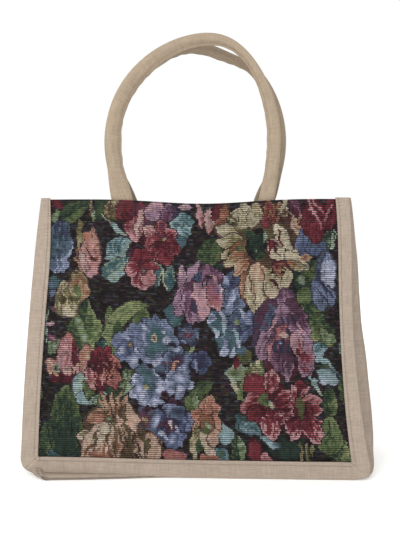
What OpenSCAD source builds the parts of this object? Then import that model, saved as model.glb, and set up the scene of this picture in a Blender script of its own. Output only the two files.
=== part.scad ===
// Upright shopping bag of woven tapestry: two hemmed panels, a canvas gusset for the sides and base,
// a canvas binding round three edges of each panel, and two stuffed tube handles sewn inside the hems.
// The front panel faces -Y, +Z is up, and the bag stands on the undersides of its two bindings.

/* [Bag] */
// Width of each panel across its bottom
panel_w = 350; // [300:1:420]
// Height of the panels from the bottom edge to the top corners
panel_h = 280; // [230:1:350]
// Depth of the base from the front panel to the back panel
base_depth = 100; // [80:1:130]
// Depth of the mouth at its middle
mouth_depth = 46; // [42:1:60]
// Depth of the mouth at its two ends
mouth_end_depth = 32; // [28:1:42]
// How far each side of a panel leans in from the base to the mouth
mouth_taper = 14; // [0:1:20]
// How far the top edge sags below its corners
top_sag = 5; // [0:0.5:8]
// How far to the right of its middle the top edge sags most
sag_at = 10; // [-30:1:30]
// How far the middle of each panel swells outwards
belly = 6; // [0:0.5:12]
// Radius of the two bottom corners of each panel
corner_r = 18; // [17.5:0.5:24]

/* [Cloth] */
// Thickness of the tapestry cloth
tapestry_t = 1.6; // [1.2:0.1:2]
// Thickness of the canvas
canvas_t = 1.2; // [0.8:0.1:1.4]
// Depth of the hem turned in at the mouth
hem_depth = 25; // [18:1:35]
// Width of cloth left out of the hem at each side seam
seam_margin = 14; // [12:1:20]
// Width of the binding on the face of a panel
binding_w = 16.5; // [12:0.5:17]
// Width of the binding on the gusset
binding_side_w = 12; // [8:0.5:14]
// How far the binding stands above the top corners
binding_over = 1.2; // [0.5:0.1:3]
// Clear gap between cloths that lie on each other
cloth_gap = 0.25; // [0.2:0.05:0.3]

/* [Gusset] */
// Depth to which the middle of each side folds inwards at the mouth
side_tuck = 38; // [20:1:42]
// How far the lower sides swell out beyond the panels
side_swell = 9; // [2:0.5:14]

/* [Handles] */
// Thickness of the stuffed handle
handle_d = 16.5; // [15:0.5:18.5]
// How much thinner the handle is at the top of its arch
arch_thin = 4; // [0:0.5:5]
// Distance between the two ends of a handle
handle_spacing = 150; // [130:1:180]
// How far each leg of the front handle bows outwards
front_bow = 9.5; // [0:0.5:14]
// How far each leg of the back handle bows outwards
back_bow = 17; // [0:0.5:20]
// Height above the mouth at which the legs are widest apart
leg_h = 66; // [50:1:90]
// Height of the arch above the widest place
arch_h = 100; // [80:1:115]
// How far the tops of the two handles lean towards each other
handle_lean = 7; // [0:0.5:7]
// How far the top of the front handle leans to the right
front_sway = 11; // [0:0.5:15]
// How far the top of the back handle leans to the right
back_sway = 5; // [0:0.5:15]
// How much higher the arch of the back handle stands
back_rise = 4; // [0:0.5:6]
// Width of the flattened handle end
tab_w = 22; // [20:0.5:26]
// Thickness of the flattened handle end
tab_t = 4.8; // [4.4:0.1:5.2]
// Length of the handle end sewn inside the hem
tab_len = 22; // [14:1:30]

/* [Hidden] */
// The panels start above the bindings that lie under the base.
base_z = canvas_t + cloth_gap;
half_w = panel_w / 2;
// Radius of the middle of the cloth round the hem fold.
fold_r = (tapestry_t + cloth_gap) / 2;
// Radius of the middle of the binding where it turns round the edge.
turn_r = canvas_t / 2 + cloth_gap;
// Distance from the middle of a panel to the middle of the binding on it, and the same on the gusset.
front_off = tapestry_t / 2 + cloth_gap + canvas_t / 2;
side_off = canvas_t + cloth_gap;
// Room between a panel and the edge of the gusset, which meets it on the slant.
edge_gap = 3 * cloth_gap;
// Distance from the middle of a panel to the gusset edge behind it.
gusset_start = tapestry_t / 2 + edge_gap;
// Room round the filler cord inside a handle.
core_gap = 2 * cloth_gap;
// Distance from the middle of a panel to the middle of a handle end inside the hem.
tab_off = 2 * fold_r + tapestry_t / 2 + cloth_gap + tab_t / 2;

// Grid lines, as shares of the length that each one divides.
panel_col_shares = [-1, -0.9, -0.75, -0.55, -0.35, -0.17, 0, 0.17, 0.35, 0.55, 0.75, 0.9, 1];
panel_row_shares = [0.1, 0.22, 0.35, 0.48, 0.6, 0.72, 0.84, 0.93, 1];
corner_angles = [0, 22.5, 45, 67.5, 90];
base_row_shares = [0, 0.5];
side_row_shares = [0.08, 0.17, 0.27, 0.37, 0.46, 0.55, 0.64, 0.73, 0.82];
side_share = binding_side_w / base_depth;
binding_side_shares = [0.4 * side_share, side_share];
binding_face_shares = [1, 0.5];
front_half_shares = concat([0], binding_side_shares, [0.21, 0.29, 0.37, 0.44]);
gusset_col_shares = concat(front_half_shares, [0.5], [for (i = [6 : -1 : 0]) 1 - front_half_shares[i]]);
leg_row_shares = [0.05, 0.25, 0.45, 0.7, 1];
// Share by which the arch is narrower than an ellipse near its top.
narrow_share = 0.06;
arch_angles = [165, 150, 135, 120, 105, 90, 75, 60, 45, 30, 15];
tube_sides = 12;

// Side fold by height: share of the height, share of the swell in one wave across the gusset,
// share of it in three waves, and share of the tuck.
fold_shares = [
  [0, 0, 0, 0], [0.1, 0.8, 0.35, 0], [0.25, 0.7, 0.62, 0], [0.43, 0.35, 0.8, 0.04],
  [0.58, 0, 0.45, 0.3], [0.72, 0, 0.16, 0.62], [0.86, 0, 0.04, 0.88], [1, 0, 0, 1]
];

function column(table, c) = [for (r = table) [r[0], r[c]]];
one_wave = column(fold_shares, 1);
three_wave = column(fold_shares, 2);
tuck_wave = column(fold_shares, 3);

// Half of the panel's width at height z above its bottom edge.
function half_width(z) =
  z < corner_r
    ? half_w - corner_r + sqrt(max(0, corner_r * corner_r - (corner_r - z) * (corner_r - z)))
    : half_w - mouth_taper * pow((z - corner_r) / (panel_h - corner_r), 2);

// Height of the mouth edge at x.
function mouth_z(x) = panel_h - top_sag * pow(max(0, 1 - pow((x - sag_at) / half_w, 2)), 7);

// Y of the middle of the front panel's cloth at x and height z above its bottom edge.
function panel_y(x, z) =
  let (u = x / half_w, v = z / panel_h)
  let (mouth = mouth_depth + (mouth_end_depth - mouth_depth) * u * u)
  -(base_depth * (1 - v) + mouth * v) / 2 - belly * sin(180 * min(v, 1)) * (1 - u * u);

// Outline of the right half of a panel: x, height, and the outward direction in x and z.
hem_share = 1 - hem_depth / (panel_h - corner_r);
right_half = concat(
  [for (s = base_row_shares) [s * (half_w - corner_r), 0, 0, -1]],
  [for (a = corner_angles)
    [half_w - corner_r + corner_r * sin(a), corner_r - corner_r * cos(a), sin(a), -cos(a)]],
  [for (s = concat(side_row_shares, [hem_share, hem_share + canvas_t / panel_h, 1]))
    let (z = corner_r + s * (panel_h - corner_r)) [half_width(z), z, 1, 0]]
);
half_rows = len(right_half);
outline = concat(
  [for (i = [half_rows - 1 : -1 : 1]) let (p = right_half[i]) [-p[0], p[1], -p[2], p[3]]],
  right_half
);

function unit(v) = v / norm(v);
function row_tangent(g, i, j) =
  let (n = len(g) - 1)
  let (a = i > 0 ? unit(g[i][j] - g[i - 1][j]) : [0, 0, 0])
  let (b = i < n ? unit(g[i + 1][j] - g[i][j]) : [0, 0, 0])
  unit(a + b);
function col_tangent(g, i, j) =
  let (n = len(g[0]) - 1)
  let (a = j > 0 ? unit(g[i][j] - g[i][j - 1]) : [0, 0, 0])
  let (b = j < n ? unit(g[i][j + 1] - g[i][j]) : [0, 0, 0])
  unit(a + b);
// Direction square to a grid of points at row i, column j.
function square_to(g, i, j) = unit(cross(col_tangent(g, i, j), row_tangent(g, i, j)));
// The grid moved square to itself by one distance for each row.
function moved(g, by) =
  [for (i = [0 : len(g) - 1]) [for (j = [0 : len(g[0]) - 1]) g[i][j] + by[i] * square_to(g, i, j)]];
function all_rows(g, d) = [for (r = g) d];

// Middle of the gusset cloth at one outline row p and share t of the way from front to back.
function gusset_point(p, t) =
  let (v = p[1] / panel_h, start = panel_y(p[0], p[1]) + gusset_start)
  let (swell = side_swell * (lookup(v, one_wave) * sin(180 * t) + lookup(v, three_wave) * sin(540 * t)))
  let (tuck = side_tuck * lookup(v, tuck_wave) * (sin(180 * t) - sin(540 * t) / 3) * 3 / 4)
  let (out = swell - tuck - canvas_t / 2)
  [p[0] + p[2] * out, start * (1 - 2 * t), base_z + p[1] + p[3] * out];
gusset_grid = [for (p = outline) [for (t = gusset_col_shares) gusset_point(p, t)]];

// Middle of the binding cloth: the leg on the panel, the turn round the edge, the leg on the gusset.
function lifted(p) = p[1] < panel_h ? p : [p[0], p[1] + binding_over, p[2], p[3]];
function face_point(p, d) =
  let (x = p[0] - p[2] * d, z = p[1] - p[3] * d)
  [x, panel_y(x, z) - front_off, base_z + z];
function turn_point(p, a) =
  let (out = cloth_gap + canvas_t / 2 - turn_r + turn_r * sin(a))
  [p[0] + p[2] * out, panel_y(p[0], p[1]) - front_off + turn_r * (1 - cos(a)), base_z + p[1] + p[3] * out];
leg_grid = [for (p = outline) [for (t = concat([0], binding_side_shares)) gusset_point(lifted(p), t)]];
side_leg = moved(leg_grid, all_rows(leg_grid, side_off));
binding_grid = [
  for (i = [0 : len(outline) - 1])
    let (p = lifted(outline[i]))
    concat(
      [for (s = binding_face_shares) face_point(p, s * binding_w)],
      [for (a = [0, 45, 90]) turn_point(p, a)],
      [for (j = [1 : len(binding_side_shares)]) side_leg[i][j]]
    )
];

// Rows of the panel cloth: 0 is a height beside the round corners, 1 a share of the way up the face,
// 2 an angle round the hem fold, 3 a share of the way down the hem inside.
panel_rows = concat(
  [for (a = corner_angles) [0, corner_r - corner_r * cos(a)]],
  [for (s = panel_row_shares) [1, s]],
  [for (a = [45, 90, 135]) [2, a]],
  [for (s = [0, 0.5, 1]) [3, s]]
);
// Angle to which the outer face of a row is turned.
function panel_angle(r) = r[0] < 2 ? 0 : r[0] == 2 ? r[1] : 180;
// Middle of the panel cloth on one row, at share u of the way from its middle to a side.
function panel_point(r, u) =
  let (kind = r[0], k = r[1])
  let (inset = kind < 2 ? 0 : kind == 2 ? seam_margin * k / 180 : seam_margin)
  let (x_top = u * (half_width(panel_h) - inset))
  let (fold_z = mouth_z(x_top) - fold_r - tapestry_t / 2)
  let (z = kind == 0 ? k
         : kind == 1 ? corner_r + k * (fold_z - corner_r)
         : kind == 2 ? fold_z
         : fold_z - k * hem_depth)
  let (x = u * (half_width(min(z, panel_h)) - inset))
  let (back = kind < 2 ? 0 : kind == 2 ? fold_r - fold_r * cos(k) : 2 * fold_r)
  let (rise = kind == 2 ? fold_r * sin(k) : 0)
  [x, panel_y(x, z) + back, base_z + z + rise];
panel_grid = [for (r = panel_rows) [for (u = panel_col_shares) panel_point(r, u)]];
function panel_face(side) = [
  for (i = [0 : len(panel_rows) - 1])
    let (a = panel_angle(panel_rows[i]))
    [for (p = panel_grid[i]) p + side * tapestry_t / 2 * [0, -cos(a), sin(a)]]
];

// Handle rows from the left end to the right end: x, height above the mouth, share of flattening, and
// share of the way up the arch.
handle_half = handle_spacing / 2;
handle_z = mouth_z(handle_half);
function bowed(bow, h) = handle_half + bow * sin(90 * max(0, h) / leg_h);
function flat_share(h) = let (s = max(0, min(1, (h - tab_t) / (leg_h / 2)))) 1 - s * s * (3 - 2 * s);
function left_leg(bow) = concat(
  [for (s = [-1, -0.5, 0]) [-handle_half, s * tab_len, 1, 0]],
  [for (s = leg_row_shares) let (h = s * leg_h) [-bowed(bow, h), h, flat_share(h), 0]]
);
function mirrored(rows) = [for (i = [len(rows) - 1 : -1 : 0]) let (p = rows[i]) [-p[0], p[1], p[2], p[3]]];
function arch(bow, rise) = [
  for (a = arch_angles)
    let (x = bowed(bow, leg_h) * cos(a) * (1 - narrow_share * pow(sin(a), 2)))
    [x, leg_h + (arch_h + rise) * sin(a), 0, sin(a)]
];
function handle_rows(bow, rise) = concat(left_leg(bow), arch(bow, rise), mirrored(left_leg(bow)));

// Middle of a handle at one of its rows, its top swaying sideways.
function handle_point(r, sway) =
  let (y = panel_y(handle_half, handle_z + min(0, r[1])) + tab_off, rise = max(0, r[1]))
  [r[0] + sway * pow(r[3], 3),
   y + handle_lean * rise / (leg_h + arch_h),
   base_z + handle_z + r[1]];

// Rings round a handle, taken in from its surface by a distance.
function handle_rings(inset, bow, sway, rise) =
  let (rows = handle_rows(bow, rise))
  let (line = [for (r = rows) [handle_point(r, sway)]])
  [for (i = [0 : len(rows) - 1])
    let (t = row_tangent(line, i, 0), across = unit([-t[2], 0, t[0]]), flat = rows[i][2])
    let (d = handle_d - arch_thin * pow(rows[i][3], 6))
    let (a = (d + (tab_w - d) * flat) / 2 - inset)
    let (b = (d + (tab_t - d) * flat) / 2 - inset)
    [for (k = [0 : tube_sides - 1])
      let (turn = 360 * k / tube_sides)
      line[i][0] + a * cos(turn) * across + b * sin(turn) * [0, 1, 0]]];

// Two triangles for each cell of a grid of n rows and m columns whose first point is number o.
// From the column named turn on, the cells are split along their other diagonal.
function cells(n, m, o, turn, wrap = false) = [
  for (i = [0 : n - 2], j = [0 : wrap ? m - 1 : m - 2])
    let (a = o + i * m + j, b = o + i * m + (j + 1) % m)
    each j < turn ? [[a, b, b + m], [a, b + m, a + m]] : [[a, b, a + m], [b, b + m, a + m]]
];
function flipped(faces) = [for (f = faces) [f[0], f[2], f[1]]];
// Two triangles for each step along two rows of point numbers.
function strip(a, b) = [for (i = [0 : len(a) - 2]) each [[a[i], b[i], b[i + 1]], [a[i], b[i + 1], a[i + 1]]]];

// Closed sheet between two equal grids of points; the first has the outer face. A sheet that is alike
// on both sides of its middle column is split alike there too.
module sheet(outer, inner, alike = true) {
  n = len(outer);
  m = len(outer[0]);
  o = n * m;
  first = [for (j = [0 : m - 1]) j];
  last = [for (j = [0 : m - 1]) (n - 1) * m + j];
  left = [for (i = [0 : n - 1]) i * m];
  right = [for (i = [0 : n - 1]) i * m + m - 1];
  turn = alike ? floor(m / 2) : m;
  function under(row) = [for (k = row) k + o];
  polyhedron(
    [each [for (r = outer) each r], each [for (r = inner) each r]],
    concat(
      flipped(cells(n, m, 0, turn)),
      cells(n, m, o, turn),
      flipped(strip(first, under(first))),
      strip(last, under(last)),
      strip(left, under(left)),
      flipped(strip(right, under(right)))
    )
  );
}

// Closed tube wall between an outer and an inner row of rings.
module tube(outer, inner) {
  n = len(outer);
  m = len(outer[0]);
  o = n * m;
  first = [for (j = [0 : m]) j % m];
  last = [for (j = [0 : m]) (n - 1) * m + j % m];
  function under(row) = [for (k = row) k + o];
  polyhedron(
    [each [for (r = outer) each r], each [for (r = inner) each r]],
    concat(
      cells(n, m, 0, m, true),
      flipped(cells(n, m, o, m, true)),
      strip(first, under(first)),
      flipped(strip(last, under(last)))
    )
  );
}

// Solid through a row of rings.
module rod(rings) {
  n = len(rings);
  m = len(rings[0]);
  polyhedron(
    [for (r = rings) each r],
    concat(
      cells(n, m, 0, m, true),
      [[for (j = [m - 1 : -1 : 0]) j]],
      [[for (j = [0 : m - 1]) (n - 1) * m + j]]
    )
  );
}

module panel() {
  sheet(panel_face(1), panel_face(-1));
}

module binding() {
  d = canvas_t / 2;
  outer = moved(binding_grid, all_rows(binding_grid, d));
  inner = moved(binding_grid, all_rows(binding_grid, -d));
  sheet(outer, inner, alike = false);
}

module handle_cover(bow, sway, rise) {
  tube(handle_rings(0, bow, sway, rise), handle_rings(canvas_t, bow, sway, rise));
}

module handle_core(bow, sway, rise) {
  rod(handle_rings(canvas_t + core_gap, bow, sway, rise));
}

module at_back() {
  mirror([0, 1, 0]) children();
}

module front_panel() {
  color("#4a2f38") panel();
}

module back_panel() {
  color("#4a2f38") at_back() panel();
}

module front_binding() {
  color("#c2b29b") binding();
}

module back_binding() {
  color("#c2b29b") at_back() binding();
}

module gusset() {
  d = canvas_t / 2;
  hem = [for (p = outline) p[1] > panel_h - hem_depth + d ? -d - canvas_t : -d];
  color("#b9a88f") sheet(moved(gusset_grid, all_rows(gusset_grid, d)), moved(gusset_grid, hem));
}

module front_handle_cover() {
  color("#cfba98") handle_cover(front_bow, front_sway, 0);
}

module back_handle_cover() {
  color("#cfba98") at_back() handle_cover(back_bow, back_sway, back_rise);
}

module front_handle_core() {
  color("#e6dcc4") handle_core(front_bow, front_sway, 0);
}

module back_handle_core() {
  color("#e6dcc4") at_back() handle_core(back_bow, back_sway, back_rise);
}

front_panel();
back_panel();
front_binding();
back_binding();
gusset();
front_handle_cover();
back_handle_cover();
front_handle_core();
back_handle_core();
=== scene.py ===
import math

import bpy
import numpy as np
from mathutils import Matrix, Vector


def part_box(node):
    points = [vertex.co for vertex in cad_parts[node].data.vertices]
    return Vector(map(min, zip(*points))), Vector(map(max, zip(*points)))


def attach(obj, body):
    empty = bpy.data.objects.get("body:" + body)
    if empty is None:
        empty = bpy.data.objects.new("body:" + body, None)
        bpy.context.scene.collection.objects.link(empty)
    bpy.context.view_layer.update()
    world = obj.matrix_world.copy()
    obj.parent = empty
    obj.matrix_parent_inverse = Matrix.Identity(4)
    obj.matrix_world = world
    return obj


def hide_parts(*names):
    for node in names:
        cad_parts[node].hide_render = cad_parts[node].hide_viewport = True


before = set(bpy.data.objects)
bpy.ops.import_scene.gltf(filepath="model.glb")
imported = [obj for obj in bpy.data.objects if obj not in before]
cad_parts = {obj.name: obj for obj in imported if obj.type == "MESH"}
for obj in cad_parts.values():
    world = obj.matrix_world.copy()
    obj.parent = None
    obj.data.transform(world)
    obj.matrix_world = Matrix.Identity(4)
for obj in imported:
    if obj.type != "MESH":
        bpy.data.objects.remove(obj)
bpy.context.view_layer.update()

# Studio: a wide white floor under even white light, with one large soft lamp high on the left.
# The camera stands in front of the bag, a little below its mouth, turned slightly to the left and down.
frame_px = (400, 533)
focal_px = 518.0
camera_at = (0.0215, -0.560, 0.2385)
camera_yaw = 1.62
camera_pitch = -2.88
sensor_mm = 36.0
lamp_at = (-1.1, -1.3, 1.5)
lamp_aim = (0, 0, 0.2)
lamp_size = 1.2
lamp_watts = 16
floor_half = 6.0
floor_colour = (0.93, 0.93, 0.92, 1)
floor_glow = 0.2
white = (1, 1, 1, 1)

scene = bpy.context.scene
scene.view_settings.view_transform = "Standard"
lens = bpy.data.cameras.new("camera")
lens.sensor_width = sensor_mm
lens.lens = sensor_mm * focal_px / max(frame_px)
camera = bpy.data.objects.new("camera", lens)
camera.location = camera_at
camera.rotation_euler = (math.radians(90 + camera_pitch), 0, math.radians(camera_yaw))
scene.collection.objects.link(camera)
scene.camera = camera

daylight = bpy.data.worlds.new("even_light")
daylight.use_nodes = True
sky = daylight.node_tree.nodes["Background"]
sky.inputs["Color"].default_value = white
sky.inputs["Strength"].default_value = 1.0
scene.world = daylight


def soft_lamp(name, place, aim, size, watts):
    """A square lamp at a place, turned to face the point aim."""
    data = bpy.data.lights.new(name, "AREA")
    data.size = size
    data.energy = watts
    lamp = bpy.data.objects.new(name, data)
    lamp.location = place
    away = np.subtract(place, aim)
    tilt = math.atan2(math.hypot(away[0], away[1]), away[2])
    lamp.rotation_euler = (tilt, 0, math.atan2(away[0], -away[1]))
    scene.collection.objects.link(lamp)


def new_finish(name, roughness, specular=0.5):
    """A new material of one roughness and specular level, and its shader."""
    material = bpy.data.materials.new(name)
    material.use_nodes = True
    shader = material.node_tree.nodes["Principled BSDF"]
    shader.inputs["Roughness"].default_value = roughness
    shader.inputs["Specular IOR Level"].default_value = specular
    return material, shader


soft_lamp("key_lamp", lamp_at, lamp_aim, lamp_size, lamp_watts)

floor_mesh = bpy.data.meshes.new("floor")
floor_mesh.from_pydata([(-floor_half, -floor_half, 0), (floor_half, -floor_half, 0),
                        (floor_half, floor_half, 0), (-floor_half, floor_half, 0)], [], [(0, 1, 2, 3)])
floor = bpy.data.objects.new("floor", floor_mesh)
scene.collection.objects.link(floor)
floor_paint, floor_shader = new_finish("white_floor", roughness=0.9)
floor_shader.inputs["Base Color"].default_value = floor_colour
floor_shader.inputs["Emission Color"].default_value = white
floor_shader.inputs["Emission Strength"].default_value = floor_glow
floor_mesh.materials.append(floor_paint)

# Tapestry panels: front and back are cut from one jacquard cloth of flowers on black, woven in ribs
# from side to side. Each has its top edge turned in as a hem, and its other edges go into the seams.
# Sizes are in millimetres. The cloth's own flat coordinates, x across and z up, are its UV map.
MM = 0.001
panel_low, panel_high = (np.array(corner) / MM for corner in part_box("front_panel"))
half_w = panel_high[0]
base_z = panel_low[2]
panel_h = 280.0
corner_r = 18.0
base_depth = 100.0
mouth_depth = 46.0
mouth_end_depth = 32.0
mouth_taper = 14.0
top_sag = 5.0
sag_at = 10.0
belly = 6.0
tapestry_t = 1.6
cloth_gap = 0.25
hem_depth = 25.0
seam_margin = 14.0
fold_r = (tapestry_t + cloth_gap) / 2
rib = 2.1
face_rows = 264
fold_rows = 8
hem_rows = 24
panel_cols = 240


def smooth(s):
    """Nothing up to 0, one from 1 on, and the curve 3s^2 - 2s^3 between."""
    s = np.clip(s, 0, 1)
    return s * s * (3 - 2 * s)


def bell(s):
    """A bell curve: one at 0, and 1/e at 1 and -1."""
    return np.exp(-s ** 2)


def half_width(z):
    """Half the panel's width at height z: a quarter circle at the corner, then a lean inwards by the square
    of the height."""
    below = corner_r - np.minimum(z, corner_r)
    arc = half_w - corner_r + np.sqrt(np.maximum(0, corner_r ** 2 - below ** 2))
    lean = half_w - mouth_taper * (np.maximum(0, z - corner_r) / (panel_h - corner_r)) ** 2
    return np.where(z < corner_r, arc, lean)


def mouth_z(x):
    """Height of the mouth edge, which sags a little to the right of its middle."""
    return panel_h - top_sag * (1 - np.clip((x - sag_at) / half_w, -1, 1) ** 2) ** 7


def panel_y(x, z):
    """The front cloth's depth: straight from the base to the mouth, and swelling as a half wave up the
    middle."""
    u = x / half_w
    v = z / panel_h
    mouth = mouth_depth + (mouth_end_depth - mouth_depth) * u ** 2
    swell = belly * np.sin(np.pi * np.clip(v, 0, 1)) * (1 - u ** 2)
    return -(base_depth * (1 - v) + mouth * v) / 2 - swell


# The slack of the standing bag: the right edge of the front is drawn in and the side swells out behind it,
# the left corner stands off the floor with the base showing under it, and the back leans to the right.
right_bow = 8.5
right_draw = 2.4
right_flare = 4.0
right_fuller = ((0.6, 0.86, 0.3), (0.8, 0.66, 0.13))
right_valley = 2.5
valley_behind = 4.5
left_draw = 1.8
left_lift = 2.0
left_tuck = 13.0
corner_fill = 6.0
left_fill = 1.5
fill_spread = 160.0
fill_drop_share = 0.8
base_bulge = 16.0
back_lean = 3.0
ripple = 0.9


def corner_bulge(x, z, from_edge, above):
    """A round bulge near a bottom corner: a bell curve of the distance from its middle, whose place is given
    by a distance from the right edge and a height."""
    return np.exp(-((x - half_w + from_edge) ** 2 + (z - above) ** 2) / fill_spread)


def right_side(across, height, behind):
    """How far the right side stands out behind the front: a flare that starts sooner near the mouth, fuller
    at two heights, each with its share and spread, less a valley just behind the binding."""
    fuller = sum(share * bell((height - place) / spread) for share, place, spread in right_fuller)
    flare = right_flare * (1 + fuller) * smooth((across - 0.8) / 0.2)
    flare = flare * smooth(behind / (12 - 6 * smooth((height - 0.6) / 0.3)))
    valley = right_valley * bell((behind - valley_behind) / 2.5) * smooth((across - 0.9) / 0.1)
    return flare - valley * smooth(height / 0.15)


def settled(points):
    """Moves points with the slack cloth. Each part of the move is a length times smooth steps of the height
    and the place across, both as shares, and of the distance behind the front panel."""
    x, y, z = np.moveaxis(np.asarray(points, float), -1, 0)
    height = np.clip((z - base_z) / panel_h, 0, 1)
    behind = y - panel_y(np.clip(x, -half_w, half_w), z - base_z)
    across = np.clip((x / half_w + 1) / 2, 0, 1)
    lift = 1 - smooth(across / 0.7)
    near = 1 - smooth((behind - 1.5) / (4 + 60 * smooth(height / 0.15)))
    low = 1 - smooth(height / 0.04)
    bulge = smooth(behind / 5) * (1 - smooth((behind - 6) / 16)) * low
    tucked = smooth((behind - 1.5) / 3) * (1 - smooth((behind - 30) / 50))
    tucked = tucked * smooth((0.12 - across) / 0.1) * (1 - smooth((height - 0.02) / 0.1))
    fill = corner_fill * (0.7 + 0.3 * smooth(behind / 9)) * corner_bulge(x, z, 5, 6)
    left = left_fill * (1 - smooth((behind - 2) / 3)) * corner_bulge(-x, z, 4, 8)
    drop = fill_drop_share * (fill + left) * smooth((z - 0.6) / 8)
    bow = right_bow * np.sin(np.pi * height) ** 1.5 * across ** 3 * (1 - smooth(behind / 60))
    drawn = right_draw * smooth(height / 0.25) * across ** 3 * (1 - smooth(behind / 12))
    drawn = drawn - left_draw * smooth((0.3 - across) / 0.3)
    lean = back_lean * smooth(behind / 70) * smooth(height / 0.3)
    wave = ripple * np.sin(x / 31 + 0.6) * np.sin(z / 47 + x / 90) * smooth(height / 0.1)
    wave = wave * (1 - smooth(height - 0.5))
    new_x = x - bow + right_side(across, height, behind) + fill - left - drawn + left_tuck * tucked + lean
    new_z = z + left_lift * lift * (1 - height) * near - drop
    return np.stack([new_x, y - base_bulge * lift * bulge + wave, new_z], -1)


def unit(v):
    """Vectors divided by their lengths."""
    return v / np.maximum(np.linalg.norm(v, axis=-1, keepdims=True), 1e-9)


def tangent(grid, axis):
    """Direction of a grid along one axis: the mean of the unit steps before and after each point."""
    step = unit(np.diff(grid, axis=axis))
    before = [(1, 0) if k == axis else (0, 0) for k in range(3)]
    after = [(0, 1) if k == axis else (0, 0) for k in range(3)]
    return unit(np.pad(step, before) + np.pad(step, after))


def square_to(grid):
    """Unit direction square to a grid: the cross product of its column and row directions."""
    return unit(np.cross(tangent(grid, 1), tangent(grid, 0)))


def sheet_faces(rows, cols, step):
    """Faces of a closed sheet: the outer grid, the inner grid of every step-th point turned round, and the
    rim between them."""
    outer = np.arange(rows * cols).reshape(rows, cols)
    inner_shape = (len(range(0, rows, step)), len(range(0, cols, step)))
    inner = rows * cols + np.arange(inner_shape[0] * inner_shape[1]).reshape(inner_shape)

    def cells(g):
        return np.stack([g[:-1, :-1], g[:-1, 1:], g[1:, 1:], g[1:, :-1]], -1).reshape(-1, 4)

    faces = cells(outer).tolist() + cells(inner)[:, ::-1].tolist()
    rims = [(outer[0, ::-1], inner[0, ::-1]), (outer[-1], inner[-1]),
            (outer[:, 0], inner[:, 0]), (outer[::-1, -1], inner[::-1, -1])]
    for edge, under in rims:
        for k in range(len(under) - 1):
            over = edge[k * step:(k + 1) * step + 1].tolist()
            faces.append([*over, int(under[k + 1]), int(under[k])])
    return faces


def new_piece(name, points, faces, uv, material):
    """A smooth mesh from points in millimetres, with uv as each point's place on the flat cloth."""
    mesh = bpy.data.meshes.new(name)
    mesh.from_pydata((points.reshape(-1, 3) * MM).tolist(), [], faces)
    corner_point = np.empty(len(mesh.loops), np.int32)
    mesh.loops.foreach_get("vertex_index", corner_point)
    flat = mesh.uv_layers.new(name="flat_cloth")
    flat.uv.foreach_set("vector", uv.reshape(-1, 2)[corner_point].astype(np.float32).ravel())
    mesh.polygons.foreach_set("use_smooth", np.ones(len(mesh.polygons), bool))
    mesh.materials.append(material)
    mesh.update()
    piece = bpy.data.objects.new(name, mesh)
    scene.collection.objects.link(piece)
    return piece


def cloth_sheet(name, middle, thickness, uv, material, step=1):
    """A closed sheet of cloth: the grid of its middle moved out and in by half its thickness."""
    away = square_to(middle) * thickness / 2
    outside = (middle + away).reshape(-1, 3)
    inside = (middle - away)[::step, ::step].reshape(-1, 3)
    points = np.concatenate([outside, inside])
    flat = np.concatenate([uv.reshape(-1, 2), uv[::step, ::step].reshape(-1, 2)])
    return new_piece(name, points, sheet_faces(*middle.shape[:2], step), flat, material)


def panel_middle():
    """Grid of the middle of the front cloth and its flat coordinates: up the face in equal half ribs,
    round the hem fold as a half circle, and down the hem inside."""
    up = np.arange(face_rows + 1) / face_rows
    turn = np.pi * np.arange(1, fold_rows + 1) / fold_rows
    down = np.arange(1, hem_rows + 1) / hem_rows
    angle = np.concatenate([0 * up, turn, np.pi + 0 * down])[:, None]
    inset = seam_margin * angle / np.pi
    share = np.linspace(-1, 1, panel_cols + 1)[None]
    fold_z = mouth_z(share * (half_width(panel_h) - inset)) - fold_r - tapestry_t / 2
    rise = np.concatenate([up, 1 + 0 * turn, 1 + 0 * down])[:, None]
    fall = hem_depth * np.concatenate([0 * up, 0 * turn, down])[:, None]
    z = rise * fold_z - fall
    x = share * (half_width(z) - inset)
    y = panel_y(x, z) + fold_r * (1 - np.cos(angle))
    middle = np.stack([x, y, base_z + z + fold_r * np.sin(angle)], -1)
    flat_z = face_rows * rib / 2 * rise + fold_r * angle + fall
    return middle, np.stack(np.broadcast_arrays(x, flat_z), -1)


# The yarns of the cloth, as colours on screen from 0 to 255.
yarns = {
    "ground": (31, 28, 30), "soot": (44, 38, 40), "bark": (80, 64, 52), "wine": (74, 35, 42),
    "crimson": (112, 50, 57), "rose": (150, 96, 99), "pink": (178, 138, 140), "blush": (182, 160, 148),
    "salmon": (160, 110, 97), "peach": (172, 140, 120), "cream": (179, 169, 147), "straw": (146, 134, 105),
    "rust": (126, 86, 67), "olive": (90, 85, 58), "moss": (72, 85, 57), "leaf": (98, 111, 76),
    "lime": (130, 138, 98), "pine": (42, 57, 49), "sage": (138, 151, 134), "aqua": (134, 155, 159),
    "teal": (68, 94, 98), "slate": (84, 97, 114), "indigo": (54, 56, 78), "blue": (82, 91, 120),
    "periwinkle": (116, 124, 150), "lavender": (168, 171, 190), "mauve": (147, 120, 138),
    "orchid": (122, 90, 112), "plum": (82, 56, 72),
}
fleck_yarns = ("bark", "moss", "plum", "slate")
fleck_w = 4.4
fleck_share = 0.6
mean_shade = 0.96
rib_shade = 0.07
cell_shade = 0.08
slow_shade = 0.2
shade_lines = ((11, 8, 0.1, -0.5), (9, 7, 0.13, 0.32), (6, 9, 0.12, -0.35))
shade_limits = (0.4, 1.4)
warp_colour = (33, 28, 29)
reverse_colour = (104, 92, 88)
reverse_share = 0.65
yarn_pitch = 1.7
stitch_share = 0.16
fibre_share = 0.5
rise_range = (0.02, 0.62)
light_range = (0.16, 1.0)
drawing_seed = 7


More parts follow.
